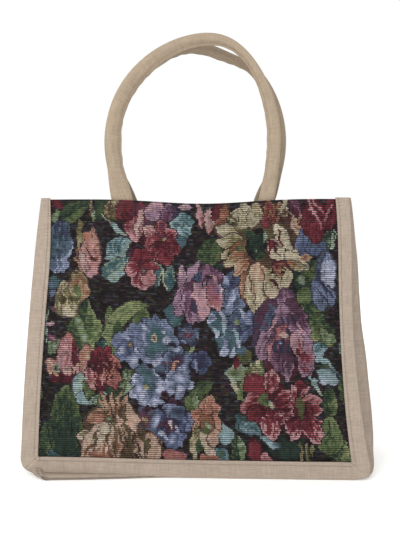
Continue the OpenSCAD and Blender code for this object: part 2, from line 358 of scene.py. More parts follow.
def linear(colour):
    """A colour on screen, 0 to 255, as linear light."""
    s = np.asarray(colour, float) / 255
    return np.where(s <= 0.04045, s / 12.92, ((s + 0.055) / 1.055) ** 2.4)


def drift(x, z, wide, high, draw):
    """Smooth random values from -1 to 1: a grid of random numbers, each eased into the next one."""
    count = 128
    knots = draw.uniform(-1, 1, (count, count))
    col = np.floor(x / wide).astype(int)
    row = np.floor(z / high).astype(int)
    s = smooth(x / wide - col)
    t = smooth(z / high - row)

    def between(up):
        here = knots[(row + up) % count, col % count]
        return here * (1 - s) + knots[(row + up) % count, (col + 1) % count] * s

    return between(0) * (1 - t) + between(1) * t


class Loom:
    """The cloth while it is drawn: cell places in its flat coordinates and the colour of each cell.

    Every rib starts a little to one side and every edge wavers, as the weft steps from cell to cell."""

    repeat_w = 328.0
    repeat_h = 300.0
    outline = 1.0
    rows = 400
    cells = 1024
    cell_w = 2.9
    rib_start = 0.4
    waver = 2.2
    fine_waver = 1.0
    contrast = 1.25
    outline_share = 0.4
    eye_share = 0.15

    def __init__(self, x, z, seed):
        draw = np.random.default_rng(seed)
        row = np.floor(z / rib).astype(int)
        start = draw.normal(0, self.rib_start, self.rows)[row % self.rows]
        self.x = x + start + self.waver * drift(x, z, 9, 7, draw)
        self.x = self.x + self.fine_waver * drift(x, z, 4, 3.2, draw)
        self.z = z + self.waver * drift(x, z, 8, 8, draw)
        self.z = self.z + self.fine_waver * drift(x, z, 3.4, 4, draw)
        cell = np.floor(x / self.cell_w).astype(int) % self.cells
        self.hatch = draw.uniform(-0.1, 0.1, (self.rows, self.cells))[row % self.rows, cell]
        self.hatch = self.hatch + 0.2 * drift(x, z, 7, 4.5, draw) + 0.1 * drift(x, z, 3.2, 2.2, draw)
        self.colour = np.full((len(x), 3), yarns["ground"], float)
        self.bare = np.ones(len(x), bool)

    def lay(self, inside, tone, tones):
        """Colours the cells inside a shape: the named yarns in turn as the tone goes from 0 to 1, each
        mixed into the next."""
        names = tones.split()
        steps = np.linspace(0, 1, len(names) + 1)[:-1]
        mix = np.clip(0.5 + self.contrast * (tone + self.hatch - 0.5), 0, 1)[inside]
        mix = mix * (len(names) - 1) / len(names)
        for channel in range(3):
            levels = [yarns[name][channel] for name in names]
            self.colour[inside, channel] = np.interp(mix, steps, levels)
        self.bare &= ~inside

    def edge(self, inside, tones):
        """The dark line round a shape: its first yarn mixed into the ground."""
        first = np.array(yarns[tones.split()[0]])
        ground = np.array(yarns["ground"])
        self.colour[inside] = (1 - self.outline_share) * ground + self.outline_share * first
        self.bare &= ~inside

    def from_place(self, x, z, turn):
        """Distances along and across a direction that leaves x, z at an angle to the right of upright."""
        dx = (self.x - x + self.repeat_w / 2) % self.repeat_w - self.repeat_w / 2
        dz = (self.z - z + self.repeat_h / 2) % self.repeat_h - self.repeat_h / 2
        s = math.sin(math.radians(turn))
        c = math.cos(math.radians(turn))
        return dx * s + dz * c, dx * c - dz * s

    def outlined(self, along, across, length, width, half, tones):
        """Lays the dark outline of a shape that is half(share of its length, full width) wide to each side,
        and returns its half width at each cell."""
        line = self.outline
        rim = half((along + line) / (length + 2 * line), width + 2 * line)
        self.edge(np.abs(across) < rim, tones)
        return half(along / length, width)

    def petal(self, x, z, length, width, turn, tones):
        """Round-ended petal, the root of a half sine wide, with a dark outline. Its tones run from its base
        to its rim, in tongues that two sines across it give."""
        along, across = self.from_place(x, z, turn)

        def half(p, most):
            return most / 2 * np.sin(np.pi * np.clip(p, 0, 1) ** 0.85) ** 0.6

        edge = self.outlined(along, across, length, width, half, tones)
        rim = np.abs(across) / np.maximum(edge, 0.1)
        p = along / length
        streak = np.sin(2 * np.pi * across / 3.7 + 2 * np.sin(along / 7 + z) + x)
        streak = streak + np.sin(2 * np.pi * across / 6.3 + z)
        tone = 0.62 * p + 0.38 * np.maximum(rim, 2 * p - 1) ** 4 + 0.13 * streak * (1 - rim ** 4)
        self.lay(np.abs(across) < edge, tone, tones)

    def leaf(self, x, z, length, width, turn, tones):
        """Pointed leaf, a half sine wide: a dark half, a light half, side veins on the slant and a middle
        vein."""
        along, across = self.from_place(x, z, turn)

        def half(p, most):
            return most / 2 * np.sin(np.pi * np.clip(p, 0, 1) ** 0.8) ** 0.85

        edge = self.outlined(along, across, length, width, half, tones)
        q = across / np.maximum(edge, 0.1)
        vein = 0.5 + 0.5 * np.cos(2 * np.pi * (along / 5.6 - 0.9 * np.abs(q)))
        mottle = np.sin(2 * np.pi * across / 6.1 + along / 5 + x) * np.sin(2 * np.pi * along / 8.3 + z)
        tone = 0.5 + 0.22 * np.tanh(3 * q) - 0.26 * vein ** 3 - 0.3 * (np.abs(across) < 0.8)
        tone = tone + 0.18 * np.abs(q) ** 3 + 0.12 * mottle
        self.lay(np.abs(across) < edge, tone, tones)

    def patch(self, x, z, width, height, tones, turn=0):
        """Oval whose tones run from its middle outwards."""
        along, across = self.from_place(x, z, turn)
        r = np.hypot(along / (height / 2), across / (width / 2))
        self.lay(r < 1, r, tones)

    def stem(self, x, z, to_x, to_z, width, tones):
        """Stroke between two places that narrows towards its ends as the root of a half sine."""
        turn = math.degrees(math.atan2(to_x - x, to_z - z))
        along, across = self.from_place(x, z, turn)
        p = np.clip(along / math.hypot(to_x - x, to_z - z), 0, 1)
        self.lay(np.abs(across) < width / 2 * np.sin(np.pi * p) ** 0.4, p, tones)

    def floret(self, x, z, radius, turn, tones, eye, petals=5):
        """Small flower of round petals: a wheel with a scalloped rim, dark between the petals, and an
        eye."""
        along, across = self.from_place(x, z, turn)
        r = np.hypot(along, across) / radius
        beat = np.abs(np.cos(petals / 2 * np.arctan2(across, along)))
        rim = 0.58 + 0.42 * beat ** 0.6
        self.edge(r < rim + self.outline / radius, tones)
        streak = np.sin(2 * np.pi * across / 4.1 + along / 6) * np.sin(2 * np.pi * along / 5.3 + x)
        self.lay(r < rim, r / rim - 0.5 * (1 - beat) ** 2 + 0.2 * streak, tones)
        self.lay(r < self.eye_share, r / self.eye_share, eye)


def draw_leaves(loom):
    """Leaves and patches of green and aqua that lie behind the flowers, first those where the repeat
    joins."""
    for place in [
        (163, 4, 36, 19, 8, "pine moss leaf"), (166, 66, 38, 18, -12, "pine moss leaf lime"),
        (161, 118, 34, 16, 14, "teal sage aqua"), (166, 178, 36, 18, -8, "pine moss leaf"),
        (162, 224, 32, 16, 12, "moss leaf sage"), (167, 262, 34, 18, -6, "pine moss leaf"),
    ]:
        loom.leaf(*place)
    for place in [
        (165, 50, 6, 0, "indigo blue periwinkle lavender", "cream straw"),
        (165, 108, 6, 20, "wine crimson rose pink", "straw"),
        (166, 160, 6, 10, "bark rust peach cream", "olive"),
        (165, 212, 7, 30, "plum orchid mauve blush", "cream"), (166, 254, 7, 0, "teal slate aqua", "cream"),
    ]:
        loom.floret(*place)
    for spot in [
        (-145, 275, 15, 12, "crimson wine"), (-97, 268, 17, 27, "moss pine"),
        (-97, 131, 22, 20, "pine teal pine"), (-137, 21, 44, 16, "teal pine"),
        (-77, 87, 20, 30, "pine moss pine"), (-14, 238, 13, 13, "slate teal"),
        (119, 202, 34, 34, "moss pine pine"), (98, 28, 54, 28, "pine pine ground"),
        (94, 99, 10, 24, "pine pine ground"), (48, 92, 9, 20, "olive pine"),
        (55, 122, 14, 15, "moss olive"), (47, 106, 20, 16, "leaf sage"),
        (-18, 163, 20, 26, "slate teal teal"), (-23, 153, 8, 10, "sage teal"),
        (84, 104, 14, 12, "moss pine"), (-152, 146, 3, 36, "teal sage"), (141, 110, 16, 14, "moss pine"),
        (70, 248, 36, 40, "pine ground"), (-86, 52, 24, 22, "olive bark"), (-45, 32, 26, 26, "olive bark"),
        (20, 212, 26, 10, "pine"), (109, 259, 14, 14, "bark ground"),
        (74, 240, 92, 72, "olive bark bark wine"), (72, 190, 62, 50, "straw rust bark"),
        (-75, 40, 86, 62, "olive bark bark"), (97, 140, 60, 84, "plum plum wine"), (78, 72, 46, 60, "wine"),
        (113, 62, 34, 50, "wine"), (-94, 106, 42, 42, "wine"), (-55, 235, 40, 80, "wine plum"),
        (-32, 238, 30, 40, "wine"), (14, 55, 28, 52, "bark rust olive"),
        (-40, 110, 66, 84, "slate indigo ground"), (38, 160, 42, 90, "slate teal ground"),
        (-25, 52, 36, 46, "indigo indigo ground"),
    ]:
        loom.patch(*spot)
    for place in [
        (-144, 255, 38, 22, 58, "pine moss leaf"), (-112, 124, 50, 36, 2, "pine moss leaf lime"),
        (-150, 20, 34, 18, 3, "pine moss leaf"), (-150, 121, 19, 14, 42, "moss sage leaf"),
        (16, 211, 34, 26, 8, "pine moss moss leaf"), (-90, 220, 30, 23, 58, "teal aqua sage"),
        (-92, 196, 34, 20, 48, "teal sage aqua"), (-14, 269, 28, 22, 168, "teal aqua aqua"),
        (144, 226, 31, 14, -6, "pine sage sage"), (126, 194, 24, 14, 10, "moss leaf"),
        (106, 174, 46, 15, 143, "leaf sage sage"), (112, 160, 42, 24, 112, "pine moss leaf leaf"),
        (120, 170, 32, 22, 74, "pine moss leaf"), (122, 149, 34, 20, 124, "moss leaf lime"),
        (136, 145, 20, 12, 128, "leaf sage"), (110, 186, 22, 17, 122, "moss leaf"),
        (-112, 104, 28, 17, 196, "sage aqua aqua"), (-122, 76, 24, 13, 96, "aqua aqua sage"),
        (-97, 66, 22, 16, 16, "moss sage aqua"), (-106, 94, 20, 11, 186, "moss leaf sage"),
        (-70, 80, 28, 16, 8, "moss sage sage"), (-2, 84, 26, 18, 62, "pine moss moss"),
        (-3, 64, 26, 14, 14, "moss leaf sage"), (36, 33, 22, 16, -14, "aqua aqua aqua"),
        (37, 14, 24, 15, -48, "teal aqua teal"), (46, 14, 28, 15, -3, "pine leaf sage"),
        (47, 66, 30, 16, 152, "pine teal teal"), (49, 56, 26, 13, 124, "teal aqua slate"),
        (139, 59, 30, 18, 12, "pine moss lime"), (146, 12, 27, 21, 18, "pine leaf lime"),
        (125, 124, 18, 15, 78, "teal aqua aqua"), (132, 104, 26, 15, 118, "aqua aqua lavender"),
        (-72, 98, 18, 12, 66, "moss sage leaf"),
    ]:
        loom.leaf(*place)
    for spot in [
        (-147, 260, 7, 15, "sage leaf"), (-146, 246, 10, 8, "sage moss"),
        (-120, 155, 8, 15, "sage leaf", -18), (-115, 146, 7, 11, "sage leaf", -20),
        (-111, 135, 9, 15, "sage leaf", -20), (-77, 227, 8, 8, "teal teal aqua"),
        (-17, 255, 9, 9, "teal teal aqua"), (114, 197, 9, 9, "sage sage leaf"),
        (145, 136, 11, 7, "sage leaf"), (28, 24, 9, 8, "moss teal"), (-109, 85, 7, 12, "moss leaf"),
        (124, 166, 7, 20, "pine pine moss", -30),
    ]:
        loom.patch(*spot)
    for stroke in [
        (-110, 281, -109, 262, 3, "straw bark"), (-106, 267, -105, 253, 4.5, "sage leaf"),
        (-96, 266, -85, 253, 4.5, "cream sage"), (-87, 255, -71, 240, 5, "aqua sage"),
        (-119, 257, -119, 225, 5.5, "olive straw"), (-121, 227, -118, 203, 5, "rust peach"),
        (-93, 204, -75, 215, 3, "teal"), (37, 107, 51, 77, 6, "sage cream leaf"),
        (57, 112, 51, 82, 5.5, "lime leaf"), (3, 139, -3, 119, 4, "sage leaf"),
        (47, 120, 46, 108, 6, "wine crimson"), (124, 102, 136, 82, 4, "aqua sage"),
        (129, 100, 134, 86, 3, "aqua"), (128, 119, 144, 114, 4.5, "aqua"),
        (142, 115, 157, 98, 4.5, "aqua slate"), (144, 250, 149, 233, 2, "pine"),
        (109, 36, 110, 14, 4, "olive straw"), (117, 35, 116, 14, 4, "straw olive"),
        (122, 36, 121, 22, 3, "lime olive"),
    ]:
        loom.stem(*stroke)


def draw_round_leaves(loom):
    """The broad leaves at the bottom corners, the leaf that arches over a floret, and two with pale rims."""
    loom.petal(-131, 17, 72, 35, 0, "pine pine moss moss leaf")
    loom.petal(135, 24, 36, 28, 14, "moss leaf leaf lime")
    for vein in [
        (-131, 84, -132, 26, 2.4), (-132, 74, -143, 60, 2), (-132, 58, -143, 42, 2),
        (-132, 44, -140, 30, 2), (-131, 70, -120, 58, 2), (-131, 54, -119, 42, 2), (141, 54, 136, 30, 2),
        (140, 46, 131, 40, 1.6), (139, 40, 147, 44, 1.6),
    ]:
        loom.stem(*vein, "pine")
    loom.petal(-83, 122, 48, 14, -3, "leaf lime leaf leaf")
    loom.petal(-87, 153, 44, 18, 62, "leaf lime lime leaf")
    loom.leaf(-58, 146, 30, 14, 24, "moss leaf lime")
    loom.patch(-77, 141, 9, 28, "pine moss")
    loom.petal(-38, 191, 29, 9, 1, "teal teal sage")
    loom.petal(-25, 186, 31, 11, 0, "teal teal sage")
    loom.stem(-36, 219, -27, 188, 2.6, "sage cream")
    loom.stem(-33, 217, -36, 191, 2.4, "sage sage")


def draw_blue_florets(loom):
    """Hydrangea-like florets in blue and lavender: dark wheels with pale petal ends laid over them."""
    for place in [
        (-64, 130, 20, 10, "slate blue periwinkle periwinkle", "cream bark"),
        (-37, 138, 24, 30, "teal teal slate periwinkle", "bark cream"),
        (-15, 116, 16, 0, "plum indigo slate periwinkle", "peach"),
        (-45, 90, 20, 15, "teal slate periwinkle lavender", "cream straw"),
        (-14, 96, 15, 30, "slate periwinkle lavender", "slate"),
        (-23, 52, 23, 8, "plum indigo blue periwinkle", "blush pink"),
        (-4, 144, 12, 0, "plum slate indigo", "rose plum"),
        (10, 117, 12, 20, "indigo indigo blue", "indigo"), (41, 196, 13, 0, "indigo blue slate", "indigo"),
        (40, 177, 15, 30, "indigo slate periwinkle", "indigo"),
        (30, 158, 14, 10, "teal teal slate", "teal"), (52, 152, 18, 40, "indigo blue slate", "slate"),
        (39, 134, 14, 0, "teal slate teal", "teal"), (-50, 58, 12, 0, "bark plum slate", "peach"),
        (-48, 112, 10, 0, "slate teal slate", "slate"), (-55, 146, 10, 20, "slate periwinkle", "slate"),
    ]:
        loom.floret(*place)
    for spot in [
        (-60, 114, 14, 13, "lavender lavender periwinkle"), (-72, 127, 9, 14, "periwinkle blue", 12),
        (-57, 143, 9, 12, "periwinkle blue"), (-48, 138, 8, 40, "lavender periwinkle slate", 4),
        (-36, 116, 13, 9, "lavender lavender periwinkle"), (-26, 137, 9, 13, "lavender lavender slate", 30),
        (-36, 157, 9, 12, "slate periwinkle slate"), (-47, 117, 9, 8, "lavender periwinkle"),
        (-41, 129, 8, 12, "teal teal"), (-6, 110, 7, 34, "lavender periwinkle slate", 2),
        (-18, 111, 6, 7, "peach salmon"), (-26, 113, 7, 6, "rust plum"),
        (-51, 82, 14, 22, "lavender lavender periwinkle", -6),
        (-33, 90, 11, 22, "lavender lavender periwinkle", 4),
        (-36, 74, 14, 9, "lavender lavender periwinkle"), (-13, 86, 11, 16, "lavender lavender periwinkle"),
        (-22, 87, 7, 9, "lavender periwinkle"), (-12, 100, 12, 12, "lavender periwinkle"),
        (-44, 103, 15, 11, "teal teal slate"), (-38, 55, 9, 20, "lavender periwinkle slate", 18),
        (-10, 56, 9, 22, "periwinkle blue indigo"), (-21, 36, 15, 18, "lavender periwinkle blue"),
        (-24, 68, 4, 16, "lavender periwinkle", 20), (-15, 64, 14, 14, "indigo slate"),
        (-27, 51, 8, 9, "plum wine indigo"), (-22, 52, 3, 7, "blush lavender"),
        (5, 112, 4, 13, "lavender periwinkle", -10), (34, 200, 7, 11, "lavender periwinkle"),
        (45, 203, 9, 7, "blue indigo"), (38, 176, 6, 17, "lavender periwinkle", 12),
        (31, 167, 8, 9, "lavender slate"), (33, 155, 5, 17, "lavender slate", -10),
        (45, 143, 4, 20, "aqua lavender slate", -18), (33, 126, 8, 9, "lavender lavender"),
        (43, 124, 8, 9, "lavender aqua"), (25, 149, 7, 12, "teal teal slate"),
        (56, 161, 16, 6, "lavender periwinkle blue", -38), (47, 157, 6, 9, "lime sage leaf"),
        (20, 160, 7, 8, "slate lavender"), (-147, 192, 13, 12, "slate teal"),
        (-148, 182, 9, 7, "periwinkle slate"), (52, 128, 12, 9, "slate teal"),
        (-43, 112, 8, 6, "ground indigo"), (-28, 83, 9, 8, "ground plum"),
        (-30, 103, 7, 6, "ground indigo"), (-46, 66, 9, 8, "ground plum"), (-20, 77, 11, 6, "ground plum"),
        (-53, 118, 4, 15, "ground"), (-22, 132, 9, 7, "ground indigo"),
    ]:
        loom.patch(*spot)
    for stroke in [
        (30, 206, 37, 194, 4, "lavender periwinkle"), (47, 206, 53, 195, 4, "periwinkle lavender"),
        (44, 190, 40, 167, 4, "lavender periwinkle"), (27, 169, 37, 157, 5, "lavender lavender"),
        (33, 160, 34, 139, 4, "lavender aqua"), (21, 153, 28, 141, 4, "aqua lavender"),
        (42, 151, 51, 131, 4, "aqua lavender"), (36, 141, 34, 121, 5, "periwinkle lavender"),
        (45, 132, 42, 119, 5.5, "lavender"), (49, 169, 63, 151, 4, "lavender periwinkle"),
        (57, 150, 50, 137, 4, "blue periwinkle"), (22, 166, 30, 171, 4, "slate lavender"),
        (-70, 146, -66, 134, 4, "periwinkle lavender"), (-76, 126, -67, 124, 4, "lavender periwinkle"),
        (-56, 128, -52, 116, 4, "lavender periwinkle"), (-50, 154, -44, 140, 4, "lavender slate"),
        (-30, 150, -28, 143, 4, "slate lavender"), (-26, 128, -12, 128, 4, "slate lavender"),
        (-27, 122, -25, 108, 3, "periwinkle slate"), (-18, 50, -12, 40, 4, "lavender periwinkle"),
        (-33, 46, -27, 36, 4, "lavender"), (-10, 150, 0, 146, 3, "periwinkle slate"),
        (-10, 138, -6, 134, 3, "periwinkle"), (4, 150, 7, 140, 3, "slate periwinkle"),
    ]:
        loom.stem(*stroke)


def draw_left_flowers(loom):
    """The blue petal, buds, rosebud and open rose down the left side, and the crimson group at the top."""
    for place in [
        (-140, 257, 57, 31, 183, "indigo teal slate slate periwinkle lavender"),
        (-81, 255, 27, 25, 0, "olive straw bark straw cream"),
        (-106, 197, 51, 21, 0, "pink pink salmon pink peach rust"),
        (-113, 203, 23, 8, -12, "pink blush rose"), (-117, 172, 34, 21, -10, "straw rust straw bark"),
        (-129, 157, 36, 25, -10, "cream straw olive straw cream"),
        (-129, 95, 46, 23, 0, "rose pink pink rose salmon"), (-141, 99, 17, 13, -30, "blush peach rose"),
        (-121, 106, 24, 6, -8, "wine crimson crimson"), (-125, 97, 18, 10, 40, "pink pink peach"),
        (-120, 99, 28, 13, -96, "wine wine crimson"), (-104, 97, 34, 21, -8, "pink salmon peach salmon"),
        (-97, 98, 31, 17, 0, "wine wine crimson crimson"),
        (-86, 98, 25, 20, 16, "crimson crimson salmon salmon"),
        (-91, 112, 18, 10, 20, "wine crimson crimson"), (-100, 112, 28, 17, 184, "wine rose pink salmon"),
        (-84, 112, 28, 17, 170, "wine salmon rose crimson"),
        (-93, 110, 28, 14, 180, "wine salmon salmon crimson"),
        (-66, 256, 26, 24, -22, "wine crimson crimson plum"),
        (-58, 254, 22, 20, 14, "crimson plum crimson"), (-62, 262, 28, 20, 176, "crimson rose pink pink"),
        (-54, 270, 30, 6, 190, "pink blush pink"), (-37, 259, 21, 22, -22, "mauve mauve pink mauve"),
        (-28, 257, 22, 15, 6, "plum orchid mauve"), (-33, 242, 20, 15, -66, "rose rose pink blush"),
        (-31, 242, 17, 15, -8, "plum crimson rose pink"), (-28, 241, 14, 14, 52, "wine crimson rose pink"),
        (-34, 240, 20, 14, -118, "crimson rose pink"), (-30, 238, 25, 20, 172, "wine crimson crimson rose"),
        (-36, 237, 22, 11, 200, "wine crimson pink"), (-26, 238, 18, 14, 140, "crimson wine crimson rose"),
        (-53, 206, 26, 24, -4, "wine crimson crimson wine"), (-50, 208, 15, 13, 58, "crimson crimson rose"),
        (-53, 207, 20, 20, 184, "crimson rose pink pink"), (-56, 208, 16, 14, -96, "crimson pink rose"),
        (-50, 206, 16, 14, 150, "rose pink rose"),
    ]:
        loom.petal(*place)
    for spot in [
        (-149, 229, 9, 24, "teal teal slate"), (-113, 240, 8, 12, "rust salmon"),
        (-103, 218, 8, 6, "bark rust"), (-112, 183, 6, 15, "rust peach"), (-136, 175, 8, 9, "bark olive"),
        (-140, 105, 6, 9, "pine sage"), (-99, 107, 6, 8, "ground wine"),
        (-107, 118, 7, 6, "sage straw salmon"), (-130, 103, 11, 10, "pink blush rose"),
        (-30, 240, 8, 6, "sage straw wine"), (-51, 205, 6, 8, "cream bark plum"),
        (-146, 166, 7, 7, "rose plum"), (-149, 150, 9, 5, "blush mauve"), (-147, 136, 11, 8, "pink plum"),
        (-58, 231, 12, 7, "plum ground"), (-43, 214, 6, 7, "rose crimson"), (-9, 274, 12, 6, "blush mauve"),
        (-20, 270, 8, 12, "plum indigo"), (-93, 88, 14, 9, "crimson wine"),
    ]:
        loom.patch(*spot)
    for stroke in [
        (-127, 230, -138, 202, 4.5, "lavender periwinkle"), (-110, 226, -100, 215, 2.4, "wine"),
        (-122, 193, -119, 176, 3.4, "moss leaf"), (-128, 184, -126, 164, 2.4, "olive moss"),
        (-86, 260, -88, 279, 2, "bark"), (-77, 260, -75, 279, 2, "bark"),
        (-124, 137, -119, 114, 4, "crimson wine"), (-149, 113, -140, 97, 4, "blush peach"),
        (-118, 112, -124, 99, 3, "peach blush"), (-105, 108, -97, 88, 2.6, "pink salmon"),
        (-92, 106, -90, 88, 2.6, "salmon pink"), (-80, 108, -85, 90, 2.6, "salmon"),
        (-88, 120, -82, 107, 3, "wine"), (-84, 104, -89, 90, 2, "wine"),
        (-101, 104, -96, 90, 2, "crimson wine"),
    ]:
        loom.stem(*stroke)


def draw_middle_flowers(loom):
    """The mauve pansy with the pink petals over it, the peach chrysanthemum and the small orange flower."""
    for place in [
        (4, 279, 26, 6, 168, "pink pink rose"), (17, 274, 26, 10, 180, "pink blush pink salmon"),
        (27, 279, 18, 8, 200, "wine crimson"), (29, 266, 21, 11, 184, "rust rose salmon"),
        (33, 277, 18, 7, 186, "rust salmon rust"), (14, 193, 22, 28, 0, "plum orchid orchid plum"),
        (5, 196, 22, 10, -8, "indigo slate slate"), (27, 192, 20, 9, -4, "orchid plum orchid"),
        (-8, 195, 29, 10, 30, "mauve mauve mauve"), (-13, 192, 22, 8, 8, "mauve mauve blush"),
        (0, 196, 38, 19, 206, "plum orchid mauve mauve"), (3, 198, 43, 26, 184, "plum plum mauve mauve"),
        (9, 198, 40, 21, 178, "mauve pink pink mauve"), (21, 200, 33, 17, 172, "orchid rose rose pink"),
        (-84, 58, 24, 16, -96, "bark rust peach rust"), (-102, 40, 17, 11, -104, "olive cream blush"),
        (-84, 48, 46, 30, -142, "peach cream blush peach rust"),
        (-82, 50, 38, 20, 208, "cream blush blush rust"), (-76, 52, 40, 18, 182, "olive blush rust rust"),
        (-78, 57, 26, 8, -48, "bark straw peach"), (-82, 58, 25, 7, -22, "rust peach peach"),
        (-79, 58, 25, 6, -8, "bark peach peach"), (-76, 58, 27, 6, 6, "rust peach straw"),
        (-74, 57, 26, 7, 22, "bark peach peach"), (-60, 40, 33, 15, -8, "blush peach blush peach"),
        (-77, 60, 52, 9, 145, "peach blush peach salmon"), (-70, 52, 44, 7, 150, "olive peach olive"),
        (-58, 42, 34, 12, 158, "bark peach blush"), (-84, 43, 14, 10, -60, "cream blush"),
        (-52, 16, 22, 11, -10, "blush peach peach"), (-40, 15, 30, 19, -4, "peach blush peach bark"),
        (17, 61, 20, 20, 2, "salmon salmon peach peach"), (10, 56, 16, 13, -50, "rust salmon peach"),
        (6, 62, 20, 9, 190, "salmon peach salmon"), (23, 66, 26, 9, 178, "salmon peach peach"),
        (14, 63, 18, 14, 172, "rust rust bark"), (5, 52, 36, 10, 188, "olive straw cream straw"),
        (7, 46, 34, 10, 152, "cream blush cream"), (22, 48, 18, 8, 184, "peach blush"),
    ]:
        loom.petal(*place)
    for spot in [
        (16, 203, 7, 8, "ground plum"), (2, 173, 8, 17, "indigo plum", -12),
        (-4, 180, 6, 16, "plum orchid"), (24, 182, 5, 6, "crimson rose"),
        (16, 53, 7, 11, "sage straw moss"), (13, 46, 8, 8, "olive moss"), (7, 29, 7, 14, "pine moss"),
        (-19, 21, 24, 12, "salmon rose"), (-58, 18, 6, 7, "wine ground"), (-96, 18, 20, 10, "rust salmon"),
        (-84, 26, 3, 14, "lavender blush", 10), (-97, 55, 9, 8, "peach salmon"),
        (-86, 56, 9, 6, "sage olive"), (16, 18, 18, 7, "rust salmon"), (-47, 57, 5, 5, "peach bark"),
        (-47, 30, 5, 16, "olive bark", 14),
    ]:
        loom.patch(*spot)
    for stroke in [
        (21, 206, 29, 188, 3, "pink mauve"), (14, 205, 8, 190, 2, "plum ground"),
        (1, 168, 9, 156, 4, "mauve"), (29, 196, 30, 172, 2.4, "lavender mauve"),
        (-83, 40, -100, 20, 2, "straw"), (-72, 60, -56, 30, 1.6, "olive bark"),
        (-52, 44, -46, 20, 2, "olive"), (-36, 40, -30, 22, 2, "bark"), (14, 78, 12, 64, 1.8, "rust"),
        (20, 78, 20, 66, 1.8, "rust"), (12, 42, 20, 28, 2, "rust bark"),
        (-113, 13, -96, 40, 2.6, "rust bark"), (-94, 12, -90, 34, 3, "rust"),
        (-87, 41, -84, 14, 2.8, "bark rust"), (-78, 48, -78, 15, 3.2, "rust bark"),
        (-72, 44, -69, 13, 3, "bark"), (-66, 48, -58, 13, 2.6, "bark olive"),
        (-60, 40, -52, 14, 2.6, "bark"), (-88, 79, -82, 60, 2, "bark"), (-80, 81, -78, 60, 2, "bark"),
        (-72, 79, -75, 60, 2, "bark"), (-67, 72, -70, 50, 2.4, "bark olive"),
        (-104, 36, -97, 44, 3, "olive bark"), (-108, 60, -96, 66, 3, "olive bark"),
    ]:
        loom.stem(*stroke)


